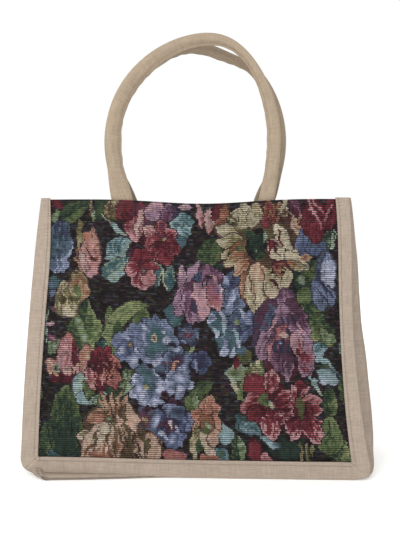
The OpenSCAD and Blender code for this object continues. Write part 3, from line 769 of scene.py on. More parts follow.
def draw_right_flowers(loom):
    """The big cream flower, the purple iris under it, the striped flower and the two crimson pansies."""
    for place in [
        (50, 250, 28, 20, 4, "straw cream cream cream"), (61, 252, 26, 13, 8, "cream straw cream"),
        (46, 246, 24, 12, -70, "straw cream cream"), (36, 258, 18, 9, 40, "olive cream cream"),
        (52, 240, 28, 15, -92, "olive straw cream cream"), (52, 232, 26, 14, -112, "olive straw cream"),
        (57, 236, 26, 20, -126, "olive rust rust bark"), (52, 228, 24, 13, -128, "rust straw cream"),
        (56, 220, 22, 14, 214, "rust peach cream"), (76, 250, 28, 13, 6, "crimson crimson rust straw"),
        (82, 254, 22, 16, 18, "wine rust rust peach"), (92, 260, 18, 10, 12, "bark cream cream"),
        (102, 264, 24, 9, 160, "peach blush straw"), (104, 264, 20, 9, 130, "bark rust straw"),
        (86, 254, 48, 13, 154, "cream cream cream cream"), (80, 236, 26, 15, 140, "wine cream cream cream"),
        (104, 226, 22, 14, 100, "cream peach rust rust"), (96, 224, 30, 13, 126, "cream cream straw"),
        (98, 214, 20, 9, 106, "rust straw sage"), (100, 277, 36, 9, 158, "cream peach rust"),
        (108, 271, 30, 9, 154, "rust peach straw"), (57, 208, 28, 14, 186, "rust peach rust"),
        (68, 214, 50, 26, 182, "peach cream cream straw cream"),
        (80, 210, 38, 20, 168, "straw cream blush straw"),
        (95, 208, 22, 18, 172, "straw cream cream peach"), (84, 214, 18, 9, 150, "wine rust cream"),
        (117, 220, 32, 20, 2, "blue periwinkle blue"), (130, 221, 22, 22, -10, "blue slate teal"),
        (138, 226, 34, 14, 186, "slate indigo blue"), (107, 262, 21, 13, -6, "wine plum wine"),
        (129, 235, 48, 26, -8, "crimson wine crimson wine wine"),
        (140, 247, 36, 16, 4, "wine crimson wine"),
        (145, 188, 36, 16, -4, "lavender lavender periwinkle blue"),
        (138, 164, 34, 15, -14, "slate periwinkle blue"),
        (150, 168, 24, 10, -16, "slate periwinkle indigo"), (97, 162, 27, 20, 0, "mauve orchid plum plum"),
        (86, 176, 50, 28, 204, "plum plum indigo plum"), (100, 176, 48, 22, 152, "plum plum orchid mauve"),
        (94, 172, 26, 18, 182, "mauve orchid indigo indigo"),
        (84, 152, 38, 17, 202, "plum mauve mauve mauve"), (88, 146, 34, 13, 188, "plum orchid rose"),
        (95, 152, 38, 20, 180, "rose plum indigo indigo plum"),
        (108, 146, 30, 17, 166, "mauve pink pink mauve"), (122, 140, 38, 11, 178, "mauve mauve rose mauve"),
        (99, 126, 29, 15, 182, "plum plum mauve mauve"), (118, 122, 23, 14, 184, "crimson mauve mauve"),
        (90, 126, 24, 12, 184, "plum orchid plum"), (70, 84, 22, 24, -24, "crimson crimson crimson rose"),
        (81, 84, 24, 16, 6, "crimson crimson pink pink"),
        (74, 76, 25, 24, -106, "wine crimson rose pink rose"),
        (70, 70, 18, 16, -140, "wine crimson crimson"), (86, 78, 34, 18, 148, "crimson rose pink pink"),
        (88, 74, 18, 26, 84, "wine crimson rose pink pink"),
        (78, 70, 33, 23, 172, "wine crimson crimson pink pink pink"),
        (110, 70, 24, 11, -12, "crimson pink pink"), (113, 70, 25, 9, 4, "wine wine crimson wine"),
        (114, 70, 22, 9, 20, "crimson pink rose"), (115, 70, 21, 17, 58, "wine rose pink pink"),
        (115, 68, 18, 14, 96, "wine crimson pink"), (111, 62, 28, 17, 204, "wine crimson pink pink pink"),
        (110, 58, 20, 14, 228, "wine crimson pink pink"),
        (117, 62, 30, 21, 160, "wine crimson crimson pink pink pink"),
        (64, 14, 25, 14, -6, "crimson crimson wine"), (74, 12, 12, 10, 0, "rose pink"),
        (69, 40, 22, 6, 118, "aqua aqua slate"),
    ]:
        loom.petal(*place)
    loom.patch(67, 110, 18, 16, "olive leaf moss")
    for stroke in [
        (58, 108, 71, 103, 4.5, "cream straw"), (67, 119, 75, 103, 4.5, "cream lime"),
        (62, 116, 66, 106, 3, "cream"), (88, 248, 94, 226, 3, "wine crimson"),
        (80, 202, 93, 187, 2.4, "wine"), (101, 279, 112, 262, 2.4, "plum orchid"),
        (117, 280, 133, 248, 3, "rose pink rose"), (122, 281, 135, 262, 2.4, "pink rose"),
        (146, 272, 134, 256, 2.4, "pink rose"), (133, 200, 152, 174, 2.4, "indigo"),
        (130, 190, 148, 165, 1.8, "indigo"), (96, 168, 78, 143, 3, "mauve pink"),
        (104, 164, 126, 132, 3, "mauve pink mauve"), (86, 140, 79, 118, 2.2, "rose pink"),
        (112, 138, 117, 120, 2.4, "crimson rose"), (103, 132, 112, 112, 2.4, "ground plum"),
        (58, 208, 63, 182, 2.6, "bark rust"), (82, 236, 80, 220, 3, "crimson wine"),
        (70, 214, 74, 196, 2, "rust olive"), (124, 128, 126, 106, 3, "rose mauve"),
        (34, 267, 46, 254, 3, "bark olive"), (48, 252, 60, 244, 2, "olive pine"),
        (88, 214, 100, 206, 2.4, "rust wine"), (62, 205, 66, 172, 1.6, "straw olive"),
        (76, 200, 76, 180, 1.6, "straw olive"),
    ]:
        loom.stem(*stroke)
    for spot in [
        (66, 234, 22, 34, "pine pine ground"), (60, 246, 12, 8, "pine moss"),
        (75, 240, 4, 11, "sage sage", 10), (66, 229, 5, 6, "sage pine"), (70, 221, 8, 10, "pine moss"),
        (49, 231, 9, 6, "leaf olive"), (117, 219, 12, 7, "rust peach"), (97, 142, 9, 5, "pink blush"),
        (96, 128, 9, 14, "indigo plum"), (93, 135, 4, 5, "lavender indigo"),
        (82, 163, 9, 20, "indigo slate", 12), (76, 152, 8, 12, "plum slate"),
        (108, 156, 7, 12, "indigo plum"), (65, 110, 7, 9, "cream olive", 20), (72, 105, 6, 8, "cream leaf"),
        (60, 107, 7, 7, "leaf olive"), (74, 78, 13, 16, "moss leaf olive"), (78, 76, 5, 8, "pine moss"),
        (82, 73, 5, 9, "cream sage"), (112, 68, 6, 22, "moss olive"), (113, 90, 8, 9, "wine crimson"),
        (124, 67, 11, 7, "wine crimson"), (104, 50, 5, 9, "wine crimson"), (113, 50, 6, 9, "wine crimson"),
        (66, 62, 13, 11, "wine crimson"), (112, 124, 4, 9, "crimson wine"), (83, 88, 6, 6, "pink rose"),
    ]:
        loom.patch(*spot)


def woven_colours(x, z, seed):
    """Linear colour of each cell: its yarn, lighter or darker from rib to rib and from cell to cell, with
    dark and light lines where smooth random values pass through nought. The black ground is flecked with
    brown, green, purple and slate where the other yarns lie behind it."""
    loom = Loom(x, z, seed)
    for draw_group in (draw_leaves, draw_round_leaves, draw_blue_florets, draw_left_flowers,
                       draw_middle_flowers, draw_right_flowers):
        draw_group(loom)
    draw = np.random.default_rng(seed + 1)
    table = (loom.rows, loom.cells)
    row = np.floor(z / rib).astype(int) % loom.rows
    spot = np.floor(x / fleck_w + 0.5 * row).astype(int) % loom.cells
    fleck = draw.uniform(0, 1, table)[row, spot] ** 1.5
    tints = np.array([yarns[name] for name in fleck_yarns])
    tint = tints[draw.integers(0, len(tints), table)[row, spot]]
    flecked = loom.colour + fleck_share * fleck[:, None] * (tint - loom.colour)
    colour = np.where(loom.bare[:, None], flecked, loom.colour)
    shade = mean_shade + draw.normal(0, rib_shade, loom.rows)[row] + draw.normal(0, cell_shade, len(x))
    shade = shade + slow_shade * drift(x, z, 2.4, 5.5, draw)
    for wide, high, narrow, change in shade_lines:
        line = bell(drift(x, z, wide, high, draw) / narrow)
        shade = shade * (1 + change * line * smooth(drift(x, z, 2 * wide, 2 * high, draw) + 0.5))
    return linear(colour) * np.clip(shade, *shade_limits)[:, None]


def feed(tree, sockets, values):
    """Gives each socket its value: a constant, or a link from the output of another node."""
    for socket, value in zip(sockets, values):
        if isinstance(value, bpy.types.NodeSocket):
            tree.links.new(value, socket)
        else:
            socket.default_value = value


def number(tree, operation, *values):
    """One Math node; each value is a number or the output of another node."""
    node = tree.nodes.new("ShaderNodeMath")
    node.operation = operation
    feed(tree, node.inputs, values)
    return node.outputs[0]


def mixed(tree, share, first, second, how="MIX"):
    """One colour Mix node; each colour is four numbers or the output of another node."""
    node = tree.nodes.new("ShaderNodeMix")
    node.data_type = "RGBA"
    node.blend_type = how
    feed(tree, (node.inputs[0], node.inputs[6], node.inputs[7]), (share, first, second))
    return node.outputs[2]


def flat_place(tree):
    """Outputs of the flat cloth's coordinates in millimetres: both as a vector, then across, then up."""
    uv = tree.nodes.new("ShaderNodeUVMap")
    uv.uv_map = "flat_cloth"
    parts = tree.nodes.new("ShaderNodeSeparateXYZ")
    tree.links.new(uv.outputs["UV"], parts.inputs[0])
    return uv.outputs["UV"], parts.outputs[0], parts.outputs[1]


def thread_noise(tree, place, across, up, detail):
    """Noise stretched by two scales along the flat cloth."""
    mapping = tree.nodes.new("ShaderNodeMapping")
    mapping.inputs["Scale"].default_value = (across, up, 1)
    tree.links.new(place, mapping.inputs["Vector"])
    noise = tree.nodes.new("ShaderNodeTexNoise")
    noise.inputs["Scale"].default_value = 1.0
    noise.inputs["Detail"].default_value = detail
    tree.links.new(mapping.outputs[0], noise.inputs["Vector"])
    return noise.outputs[0]


def bump(tree, shader, height, distance, strength):
    """Gives a shader the relief of a height, as deep as a distance in millimetres."""
    node = tree.nodes.new("ShaderNodeBump")
    node.inputs["Distance"].default_value = distance * MM
    node.inputs["Strength"].default_value = strength
    tree.links.new(height, node.inputs["Height"])
    tree.links.new(node.outputs[0], shader.inputs["Normal"])


def tapestry_cloth():
    """Rib-woven cotton: round weft ribs of coloured yarn with the black warp showing between them."""
    material, shader = new_finish("tapestry_cloth", roughness=0.85, specular=0.05)
    tree = material.node_tree
    place, x, z = flat_place(tree)
    colour = tree.nodes.new("ShaderNodeAttribute")
    colour.attribute_name = "yarn"
    wave = number(tree, "SINE", number(tree, "MULTIPLY_ADD", z, 2 * math.pi / rib, -math.pi / 2))
    crown = number(tree, "MULTIPLY_ADD", wave, 0.5, 0.5)
    row = number(tree, "FLOOR", number(tree, "DIVIDE", z, rib))
    half_step = number(tree, "MULTIPLY", row, math.pi)
    stitch = number(tree, "SINE", number(tree, "MULTIPLY_ADD", x, 2 * math.pi / yarn_pitch, half_step))
    yarn_wave = number(tree, "MULTIPLY_ADD", stitch, stitch_share, crown)
    fibre = thread_noise(tree, place, across=0.9, up=3.2, detail=3)
    even = number(tree, "SUBTRACT", yarn_wave, fibre_share / 2)
    rise = number(tree, "MULTIPLY_ADD", fibre, fibre_share, even)
    light = tree.nodes.new("ShaderNodeMapRange")
    light.interpolation_type = "SMOOTHSTEP"
    feed(tree, light.inputs, (rise, *rise_range, *light_range))
    woven = mixed(tree, light.outputs[0], (*linear(warp_colour), 1), colour.outputs["Color"])
    tree.links.new(woven, shader.inputs["Base Color"])
    bump(tree, shader, rise, distance=0.5, strength=0.8)
    return material


tapestry = tapestry_cloth()


def tapestry_panel(node, middle, flat, drawn_from):
    """A hemmed panel whose cells take their yarns from the drawing, and its inside the faded reverse of
    it."""
    piece = cloth_sheet(node + "_cloth", middle, tapestry_t, flat, tapestry, step=2)
    mesh = piece.data
    start = np.empty(len(mesh.polygons), np.int32)
    count = np.empty(len(mesh.polygons), np.int32)
    mesh.polygons.foreach_get("loop_start", start)
    mesh.polygons.foreach_get("loop_total", count)
    spots = np.empty(2 * len(mesh.loops), np.float32)
    mesh.uv_layers["flat_cloth"].uv.foreach_get("vector", spots)
    centre = np.add.reduceat(spots.reshape(-1, 2), start, axis=0) / count[:, None]
    colour = woven_colours(centre[:, 0] + drawn_from[0], centre[:, 1] + drawn_from[1], drawing_seed)
    outer = np.arange(len(count)) < (middle.shape[0] - 1) * (middle.shape[1] - 1)
    faded = (1 - reverse_share) * colour + reverse_share * linear(reverse_colour)
    colour = np.where(outer[:, None], colour, faded)
    corners = np.concatenate([colour, np.ones((len(count), 1))], 1).repeat(count, 0)
    mesh.color_attributes.new("yarn", "FLOAT_COLOR", "CORNER").data.foreach_set(
        "color", corners.astype(np.float32).ravel())
    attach(piece, "root")
    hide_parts(node)
    return piece


def turned_round(points):
    """The same points half a turn round the bag's upright middle line."""
    return points * np.array([-1, -1, 1])


front_middle, panel_flat = panel_middle()
tapestry_panel("front_panel", settled(front_middle), panel_flat, (0, 0))
tapestry_panel("back_panel", settled(turned_round(front_middle)), panel_flat, (Loom.repeat_w / 2, 0))

# Gusset: one long strip of plain cotton canvas for both sides and the base, seamed to the panels' edges.
# Its lower sides swell out and its upper sides fold inwards; both ends are turned in as hems.
canvas_t = 1.2
side_swell = 9.0
left_swell_share = 0.35
side_tuck = 38.0
fold_fade = 0.05
gusset_start = tapestry_t / 2 + 3 * cloth_gap
canvas_fold_r = canvas_t / 2 + 0.1
gusset_top = panel_h - canvas_fold_r - canvas_t / 2
gusset_step = 2.5
gusset_cols = 60
gusset_corner_steps = 14
fold_heights = [0, 0.1, 0.25, 0.43, 0.58, 0.72, 0.86, 1]
one_wave = [0, 0.8, 0.7, 0.35, 0, 0, 0, 0]
three_waves = [0, 0.35, 0.62, 0.8, 0.45, 0.16, 0.04, 0]
tuck_wave = [0, 0, 0, 0.04, 0.3, 0.62, 0.88, 1]
# Colour of the gusset canvas, a little darker than the binding: partly the canvas's own colour and partly
# painted shade for the sides that face away from the light.
gusset_shaded_colour = (160, 146, 131)
canvas_thread = 1.1
mean_tone = 0.97
over_tone = 0.13
slub_tone = 0.46
mottle_tone = 0.22
over_height = 0.3
slub_height = 0.9
# Share of the canvas colour kept under painted shade, the darkening that stands in for shade on cloth facing
# away from the light.
painted_shade_level = 0.92


def edge_outline(top, step, corner_steps):
    """Places round three edges of a panel from its left top to its right top: x, height, and the outward
    direction in x and z. The base and sides go in even steps, the corners are quarter circles."""
    a = np.radians(np.linspace(0, 90, corner_steps + 1))
    corner_x = half_w - corner_r * (1 - np.sin(a))
    corner = np.stack([corner_x, corner_r * (1 - np.cos(a)), np.sin(a), -np.cos(a)], -1)
    flat_x = np.linspace(0, half_w - corner_r, round((half_w - corner_r) / step) + 1)[:-1]
    base = np.stack([flat_x, 0 * flat_x, 0 * flat_x, 0 * flat_x - 1], -1)
    side_z = np.linspace(corner_r, top, round((top - corner_r) / step) + 1)[1:]
    side = np.stack([half_width(side_z), side_z, 0 * side_z + 1, 0 * side_z], -1)
    right = np.concatenate([base, corner, side])
    return np.concatenate([right[:0:-1] * np.array([-1, 1, -1, 1]), right])


def gusset_middle(edge, t):
    """Grid of the gusset: at share t from front to back it stands off the edge by waves of t, one and three
    to the depth, whose heights change up the bag, less the fold inwards."""
    x, z, out_x, out_z = (edge[:, k, None] for k in range(4))
    v = z / panel_h
    one = np.sin(np.pi * t)
    three = np.sin(3 * np.pi * t)

    def at_height(shares):
        nearby = (-0.04, -0.02, 0, 0.02, 0.04)
        mean = sum(np.interp(v + near, fold_heights, shares) for near in nearby) / len(nearby)
        return mean * smooth(v / fold_fade)

    side = np.where(out_x < 0, left_swell_share, 1)
    swell = side * side_swell * (at_height(one_wave) * one + at_height(three_waves) * three)
    tuck = side_tuck * at_height(tuck_wave) * (one - three / 3) * 3 / 4
    out = swell - tuck - canvas_t / 2
    start = panel_y(x, z) + gusset_start
    return np.stack([x + out_x * out, start * (1 - 2 * t), base_z + z + out_z * out], -1)


def hemmed_gusset():
    """Grid of the gusset with each end turned in: a half circle over the top, then down along the inside."""
    edge = edge_outline(gusset_top, gusset_step, gusset_corner_steps)
    face = gusset_middle(edge, np.linspace(0, 1, gusset_cols + 1)[None])
    away = square_to(face)
    turn = np.radians(np.linspace(0, 180, 7))[1:, None, None]
    rows = round(hem_depth / gusset_step)

    def end(grid, out):
        fold = grid[:1] - out[:1] * canvas_fold_r * (1 - np.cos(turn))
        fold = fold + [0, 0, canvas_fold_r] * np.sin(turn)
        return np.concatenate([fold, grid[1:rows + 1] - 2 * canvas_fold_r * out[1:rows + 1]])

    return np.concatenate([end(face, away)[::-1], face, end(face[::-1], away[::-1])])


def walked(grid, axis):
    """Distance walked along one axis of a grid from its first point."""
    step = np.linalg.norm(np.diff(grid, axis=axis), axis=-1)
    return np.cumsum(np.pad(step, [(1, 0) if k == axis else (0, 0) for k in range(2)]), axis=axis)


def plain_weave_group():
    """Node group of a plain weave in the flat coordinates: threads over and under as the product of two
    sines, slubs as noise drawn out along both threads, and a slow mottle. Gives a tone and a height."""
    group = bpy.data.node_groups.new("plain_weave", "ShaderNodeTree")
    group.interface.new_socket("Place", in_out="INPUT", socket_type="NodeSocketVector")
    group.interface.new_socket("Tone", in_out="OUTPUT", socket_type="NodeSocketFloat")
    group.interface.new_socket("Height", in_out="OUTPUT", socket_type="NodeSocketFloat")
    start = group.nodes.new("NodeGroupInput")
    end = group.nodes.new("NodeGroupOutput")
    parts = group.nodes.new("ShaderNodeSeparateXYZ")
    group.links.new(start.outputs[0], parts.inputs[0])
    across = number(group, "SINE", number(group, "MULTIPLY", parts.outputs[0], math.pi / canvas_thread))
    up = number(group, "SINE", number(group, "MULTIPLY", parts.outputs[1], math.pi / canvas_thread))
    over = number(group, "MULTIPLY", across, up)
    warp_slub = thread_noise(group, start.outputs[0], across=0.8, up=0.07, detail=2)
    weft_slub = thread_noise(group, start.outputs[0], across=0.07, up=0.8, detail=2)
    slub = number(group, "SUBTRACT", number(group, "ADD", warp_slub, weft_slub), 1)
    clouds = thread_noise(group, start.outputs[0], across=0.05, up=0.05, detail=4)
    mottle = number(group, "SUBTRACT", clouds, 0.5)
    height = number(group, "MULTIPLY_ADD", slub, slub_height, 0.5)
    height = number(group, "MULTIPLY_ADD", over, over_height, height)
    tone = number(group, "MULTIPLY_ADD", slub, slub_tone, mean_tone)
    tone = number(group, "MULTIPLY_ADD", over, over_tone, tone)
    tone = number(group, "MULTIPLY_ADD", mottle, mottle_tone, tone)
    group.links.new(tone, end.inputs["Tone"])
    group.links.new(height, end.inputs["Height"])
    return group


plain_weave = plain_weave_group()


def canvas_cloth(name, colour):
    """Plain cotton canvas of one colour, shaded thread by thread, with painted shade where a point attribute
    marks it.
    """
    material, shader = new_finish(name, roughness=0.9, specular=0.15)
    tree = material.node_tree
    weave = tree.nodes.new("ShaderNodeGroup")
    weave.node_tree = plain_weave
    tree.links.new(flat_place(tree)[0], weave.inputs["Place"])
    tone = tree.nodes.new("ShaderNodeCombineColor")
    for socket in tone.inputs:
        tree.links.new(weave.outputs["Tone"], socket)
    # Painted shade: where the attribute is one, the colour is darkened to stand in for the shade on cloth
    # facing away from the light.
    back = tree.nodes.new("ShaderNodeAttribute")
    back.attribute_name = "painted_side_shade"
    painted_shade_colour = (*linear(painted_shade_level * np.array(colour)), 1)
    plain = mixed(tree, back.outputs["Fac"], (*linear(colour), 1), painted_shade_colour)
    tree.links.new(mixed(tree, 1.0, plain, tone.outputs[0], "MULTIPLY"), shader.inputs["Base Color"])
    bump(tree, shader, weave.outputs["Height"], distance=0.25, strength=0.6)
    return material


gusset_grid = hemmed_gusset()
gusset_flat = np.stack([walked(gusset_grid, 0), walked(gusset_grid, 1)], -1)
gusset_flat[..., 0] = gusset_flat[:, gusset_cols // 2:gusset_cols // 2 + 1, 0]
gusset_piece = cloth_sheet("gusset_cloth", settled(gusset_grid), canvas_t, gusset_flat,
                           canvas_cloth("gusset_canvas", gusset_shaded_colour))
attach(gusset_piece, "root")
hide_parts("gusset")

# Bindings: a strip of cotton canvas folded over each panel's seam, down one side, along the base and
# up the other, with a mitred crease at each bottom corner. Its top ends stand just above the mouth.
binding_w = 16.5
binding_side_w = 12.0
binding_over = 1.2
binding_stitch_in = 3.8
face_shares = [1, 0.95, 0.88, 0.83, 0.80, 0.77, 0.74, 0.71, 0.66, 0.56, 0.45, 0.34, 0.22, 0.1, 0]
left_narrow = 7.2
left_narrow_from = 195.0
left_narrow_over = 83.0
right_narrow = 3.2
right_narrow_over = 160.0
pucker_depth = 0.16
sewn_depth = 0.3
sewn_w = 0.6
mitre_ridge = 0.4
mitre_ridge_w = 4.0
mitre_groove = 0.6
mitre_groove_w = 0.8
binding_colour = (165, 150, 136)
binding_step = 1.8
binding_corner_steps = 40
turn_r = canvas_t / 2 + cloth_gap
front_off = tapestry_t / 2 + cloth_gap + canvas_t / 2
side_off = canvas_t + cloth_gap
binding_edge = edge_outline(panel_h + binding_over, binding_step, binding_corner_steps)
binding_canvas = canvas_cloth("binding_canvas", binding_colour)


def binding_face(edge, inset):
    """Points of the binding on the panel: the edge outline moved inwards, in front of the panel's cloth. It
    narrows up the right side, and towards the mouth on the left by the square of the height."""
    climb = np.maximum(0, edge[:, 1] - left_narrow_from) / left_narrow_over
    left = left_narrow * climb ** 2 * (edge[:, 0] < 0)
    right = right_narrow * smooth(edge[:, 1] / right_narrow_over) * (edge[:, 0] > 0)
    inset = inset * (1 - (left + right) / binding_w)[:, None]
    x = edge[:, 0, None] - edge[:, 2, None] * inset
    z = edge[:, 1, None] - edge[:, 3, None] * inset
    return np.stack([x, panel_y(x, z) - front_off, base_z + z], -1)


def binding_middle(edge):
    """Grid of the front binding and its flat coordinates: the face, a quarter circle round the edge, and
    the leg on the gusset. The face has a groove at each mitre and small puckers between its stitches."""
    x, z, out_x, out_z = (edge[:, k, None] for k in range(4))
    inset = np.array([face_shares]) * binding_w
    face = binding_face(edge, inset)
    a = np.radians(np.linspace(0, 90, 6))[None, 1:]
    out = cloth_gap + canvas_t / 2 - turn_r + turn_r * np.sin(a)
    turn = np.stack([x + out_x * out, panel_y(x, z) - front_off + turn_r * (1 - np.cos(a)),
                     base_z + z + out_z * out], -1)
    leg = gusset_middle(edge, np.linspace(0, binding_side_w / base_depth, 9)[None])
    leg = (leg + square_to(leg) * side_off)[:, 1:]
    past_corner = np.abs(face[..., 0]) - (half_w - corner_r)
    above_corner = face[..., 2] - base_z - corner_r
    mitre = (past_corner + above_corner) / math.sqrt(2)
    at_corner = (above_corner < 0) & (past_corner > 0)
    along = np.cumsum(np.hypot(*np.diff(edge[:, :2], axis=0, prepend=edge[:1, :2]).T))[:, None]
    pucker = pucker_depth * np.sin(along / 3.9 + 2 * np.sin(along / 17)) * np.sin(np.pi * inset / binding_w)
    sewn_in = sewn_depth * bell((inset - binding_w + binding_stitch_in) / sewn_w)
    crease = mitre_ridge * bell(mitre / mitre_ridge_w) - mitre_groove * bell(mitre / mitre_groove_w)
    face[..., 1] -= pucker - sewn_in + at_corner * crease
    grid = np.concatenate([face, turn, leg], 1)
    past = walked(grid, 1) - binding_w
    flat = np.stack([x + out_x * past, z + out_z * past], -1)
    return grid, flat


binding_grid, binding_flat = binding_middle(binding_edge)
# Painted shade on the binding from its turn round the edge onwards: the cloth on the bag's side faces away
# from the light, so it is coloured darker.
painted_side_shade = np.zeros(binding_grid.shape[:2], np.float32)
painted_side_shade[:, len(face_shares) + 2:] = 1


def mark_painted_side_shade(piece, shares):
    """Gives each point of a piece its share of the painted shade, a darker colour that stands in for shade.
    """
    mark = piece.data.attributes.new("painted_side_shade", "FLOAT", "POINT")
    mark.data.foreach_set("value", shares)


for node, grid in (("front_binding", binding_grid), ("back_binding", turned_round(binding_grid))):
    piece = cloth_sheet(node + "_cloth", settled(grid), canvas_t, binding_flat, binding_canvas)
    mark_painted_side_shade(piece, np.tile(painted_side_shade.ravel(), 2))
    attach(piece, "root")
    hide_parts(node)

# Stitching: beige thread through the bindings near their inner edge, and brown thread in two rows through
# the panels' hems. Each stitch is a short bent thread whose ends go down into the cloth.
stitch_pitch = 3.4
stitch_length = 2.7
binding_thread_r = 0.2
hem_thread_r = 0.17
hem_stitch_heights = (4.0, 23.5)
hem_stitch_clear = 1.5
stitch_rise = 0.5
stitch_sunk = 0.2
stitch_taper = 0.4
thread_twist = 0.6
twist_shade = 0.85
binding_thread_colour = (156, 142, 128)
hem_thread_colour = (92, 82, 78)


def sewing_thread(name, colour):
    """Twisted cotton thread: light and dark bands on the slant across each stitch."""
    material, shader = new_finish(name, roughness=0.7)
    tree = material.node_tree
    place = tree.nodes.new("ShaderNodeTexCoord")
    parts = tree.nodes.new("ShaderNodeSeparateXYZ")
    tree.links.new(place.outputs["Object"], parts.inputs[0])
    slant = number(tree, "ADD", parts.outputs[0], number(tree, "ADD", parts.outputs[1], parts.outputs[2]))
    twist = number(tree, "SINE", number(tree, "MULTIPLY", slant, 2 * math.pi / (thread_twist * MM)))
    share = number(tree, "MULTIPLY_ADD", twist, 0.5, 0.5)
    dark = (*linear(twist_shade * np.array(colour)), 1)
    tree.links.new(mixed(tree, share, dark, (*linear(colour), 1)), shader.inputs["Base Color"])
    return material


binding_thread = sewing_thread("binding_thread", binding_thread_colour)
hem_thread = sewing_thread("hem_thread", hem_thread_colour)


def stitch_row(name, line, outwards, thread, thread_r):
    """Stitches along a line of points: six-sided tubes of five rings whose height is a half cosine."""
    walk = np.concatenate([[0], np.cumsum(np.linalg.norm(np.diff(line, axis=0), axis=1))])
    starts = (np.arange(int(walk[-1] / stitch_pitch)) + 0.5) * stitch_pitch
    share = np.linspace(-0.5, 0.5, 5)
    place = starts[:, None] + share * stitch_length

    def on_line(values):
        return np.stack([np.interp(place, walk, values[:, k]) for k in range(3)], -1)

    middle = on_line(line)
    along = tangent(middle, 1)
    up = unit(on_line(outwards))
    side = np.cross(along, up)
    arc = np.cos(np.pi * share)
    lift = (stitch_rise * arc - stitch_sunk)[:, None]
    radius = (thread_r * (1 - stitch_taper + stitch_taper * arc))[:, None, None]
    a = np.radians(np.arange(0, 360, 60))[:, None]
    spoke = np.cos(a) * up[:, :, None] + np.sin(a) * side[:, :, None]
    rings = (middle + up * lift)[:, :, None] + radius * spoke
    first = np.arange(rings.size // 3).reshape(rings.shape[:3])
    after = np.roll(first, -1, 2)
    walls = np.stack([first[:, :-1], after[:, :-1], after[:, 1:], first[:, 1:]], -1).reshape(-1, 4)
    faces = walls.tolist() + first[:, 0, ::-1].tolist() + first[:, -1].tolist()
    piece = new_piece(name, rings, faces, np.zeros((rings.size // 3, 2)), thread)
    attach(piece, "root")
    return piece


stitch_line = binding_face(binding_edge, np.array([[binding_w - binding_stitch_in]]))[:, 0]
stitch_line[:, 1] -= canvas_t / 2
for side_name, turned in (("front", lambda p: p), ("back", turned_round)):
    line = settled(turned(stitch_line))
    facing = turned(np.tile([0.0, -1.0, 0.0], (len(line), 1)))
    stitch_row(side_name + "_binding_stitches", line, facing, binding_thread, binding_thread_r)
    for height in hem_stitch_heights:
        across = np.linspace(-1, 1, 161) * (half_width(panel_h - height) - binding_w - hem_stitch_clear)
        low = mouth_z(across) - height
        hem_line = np.stack([across, panel_y(across, low) - tapestry_t / 2, base_z + low], -1)
        facing = turned(np.tile([0.0, -1.0, 0.0], (len(hem_line), 1)))
        stitch_row(f"{side_name}_hem_stitches_{height:.0f}_mm", settled(turned(hem_line)), facing,
                   hem_thread, hem_thread_r)

# Handles: a canvas tube with one lengthwise seam, stuffed with a soft cotton rope. Each end is pressed
# flat and sewn between the hem and the inside of its panel.
handle_d = 16.5
handle_half = 75.0
leg_h = 66.0
arch_h = 100.0
arch_thin = 4.0
arch_narrow = 0.06
handle_lean = 7.0
tab_w = 22.0
tab_t = 4.8
tab_len = 22.0
tab_off = 2 * fold_r + tapestry_t / 2 + cloth_gap + tab_t / 2
handle_z = mouth_z(handle_half)
handle_sides = 60
arch_sag_at = math.radians(70)
arch_sag_width = math.radians(23)
shoulder_at = math.radians(48)
shoulder_width = math.radians(25)
seam_at = 212.0
seam_groove = 0.9
seam_ridge = 0.5
seam_pucker = 0.35
cover_crease = 0.36
cover_slow = 0.30
flat_share = 0.8
strand_depth = 0.9
strand_turn = 8.0
handle_colour = (164, 147, 127)
rope_colour = (230, 220, 196)
handle_angles = np.arange(handle_sides) * 360 / handle_sides


def handle_line(left_bow, right_bow, sway, rise, dip, pinch, right_thin, right_tab):
    """Middle line of a handle from its left end to its right end, how far it is flattened, its depth and its
    width: legs that bow out as a quarter sine, and half an ellipse whose top leans as the cube of the sine.
    By bell curves of its angle the arch sags past its top and is pressed thinner at its right shoulder."""
    leg = np.concatenate([np.linspace(-tab_len, 0, 12), np.linspace(0, leg_h, 45)[1:]])
    bend = np.sin(np.pi / 2 * np.maximum(0, leg) / leg_h)
    turn = np.radians(np.linspace(180, 0, 121))[1:-1]
    up = np.sin(turn)
    side = np.cos(turn)
    sag = dip * bell((turn - arch_sag_at) / arch_sag_width)
    pressed = pinch * bell((turn - shoulder_at) / shoulder_width)
    middle = (right_bow - left_bow) / 2
    reach = handle_half + (right_bow + left_bow) / 2
    arch_x = middle + reach * side * (1 - arch_narrow * up ** 2) + sway * up ** 3 + pressed / 2 * side
    arch_z = leg_h + (arch_h + rise) * up - sag + pressed / 2 * up
    x = np.concatenate([-handle_half - left_bow * bend, arch_x, (handle_half + right_bow * bend)[::-1]])
    h = np.concatenate([leg, arch_z, leg[::-1]])
    right = np.concatenate([0 * leg, smooth((side + 0.1) / 0.7), 0 * leg + 1])
    deep = handle_d - right_thin * right - np.concatenate([0 * leg, arch_thin * up ** 6 + pressed, 0 * leg])
    flat = 1 - smooth((h - tab_t) / (leg_h / 2))
    wide = deep + (tab_w - deep) * flat * (1 - (1 - right_tab) * right)
    climb = np.maximum(0, h)
    y = panel_y(handle_half, handle_z + np.minimum(0, h)) + tab_off
    y = y + handle_lean * climb / (leg_h + arch_h)
    return np.stack([x, y, base_z + handle_z + h], -1), flat, deep + (tab_t - deep) * flat, wide


def handle_rings(line, deep, wide, inset, swell):
    """Rings round a handle's line: ellipses of its depth and width, swollen by a grid of distances."""
    along = tangent(line[:, None], 0)
    across = unit(np.stack([-along[..., 2], 0 * along[..., 2], along[..., 0]], -1))
    a = np.radians(handle_angles)
    half_wide = (wide[:, None] / 2 - inset + swell) * np.cos(a)
    half_deep = (deep[:, None] / 2 - inset + swell) * np.sin(a)
    return line[:, None] + half_wide[..., None] * across + half_deep[..., None] * [0, 1, 0]


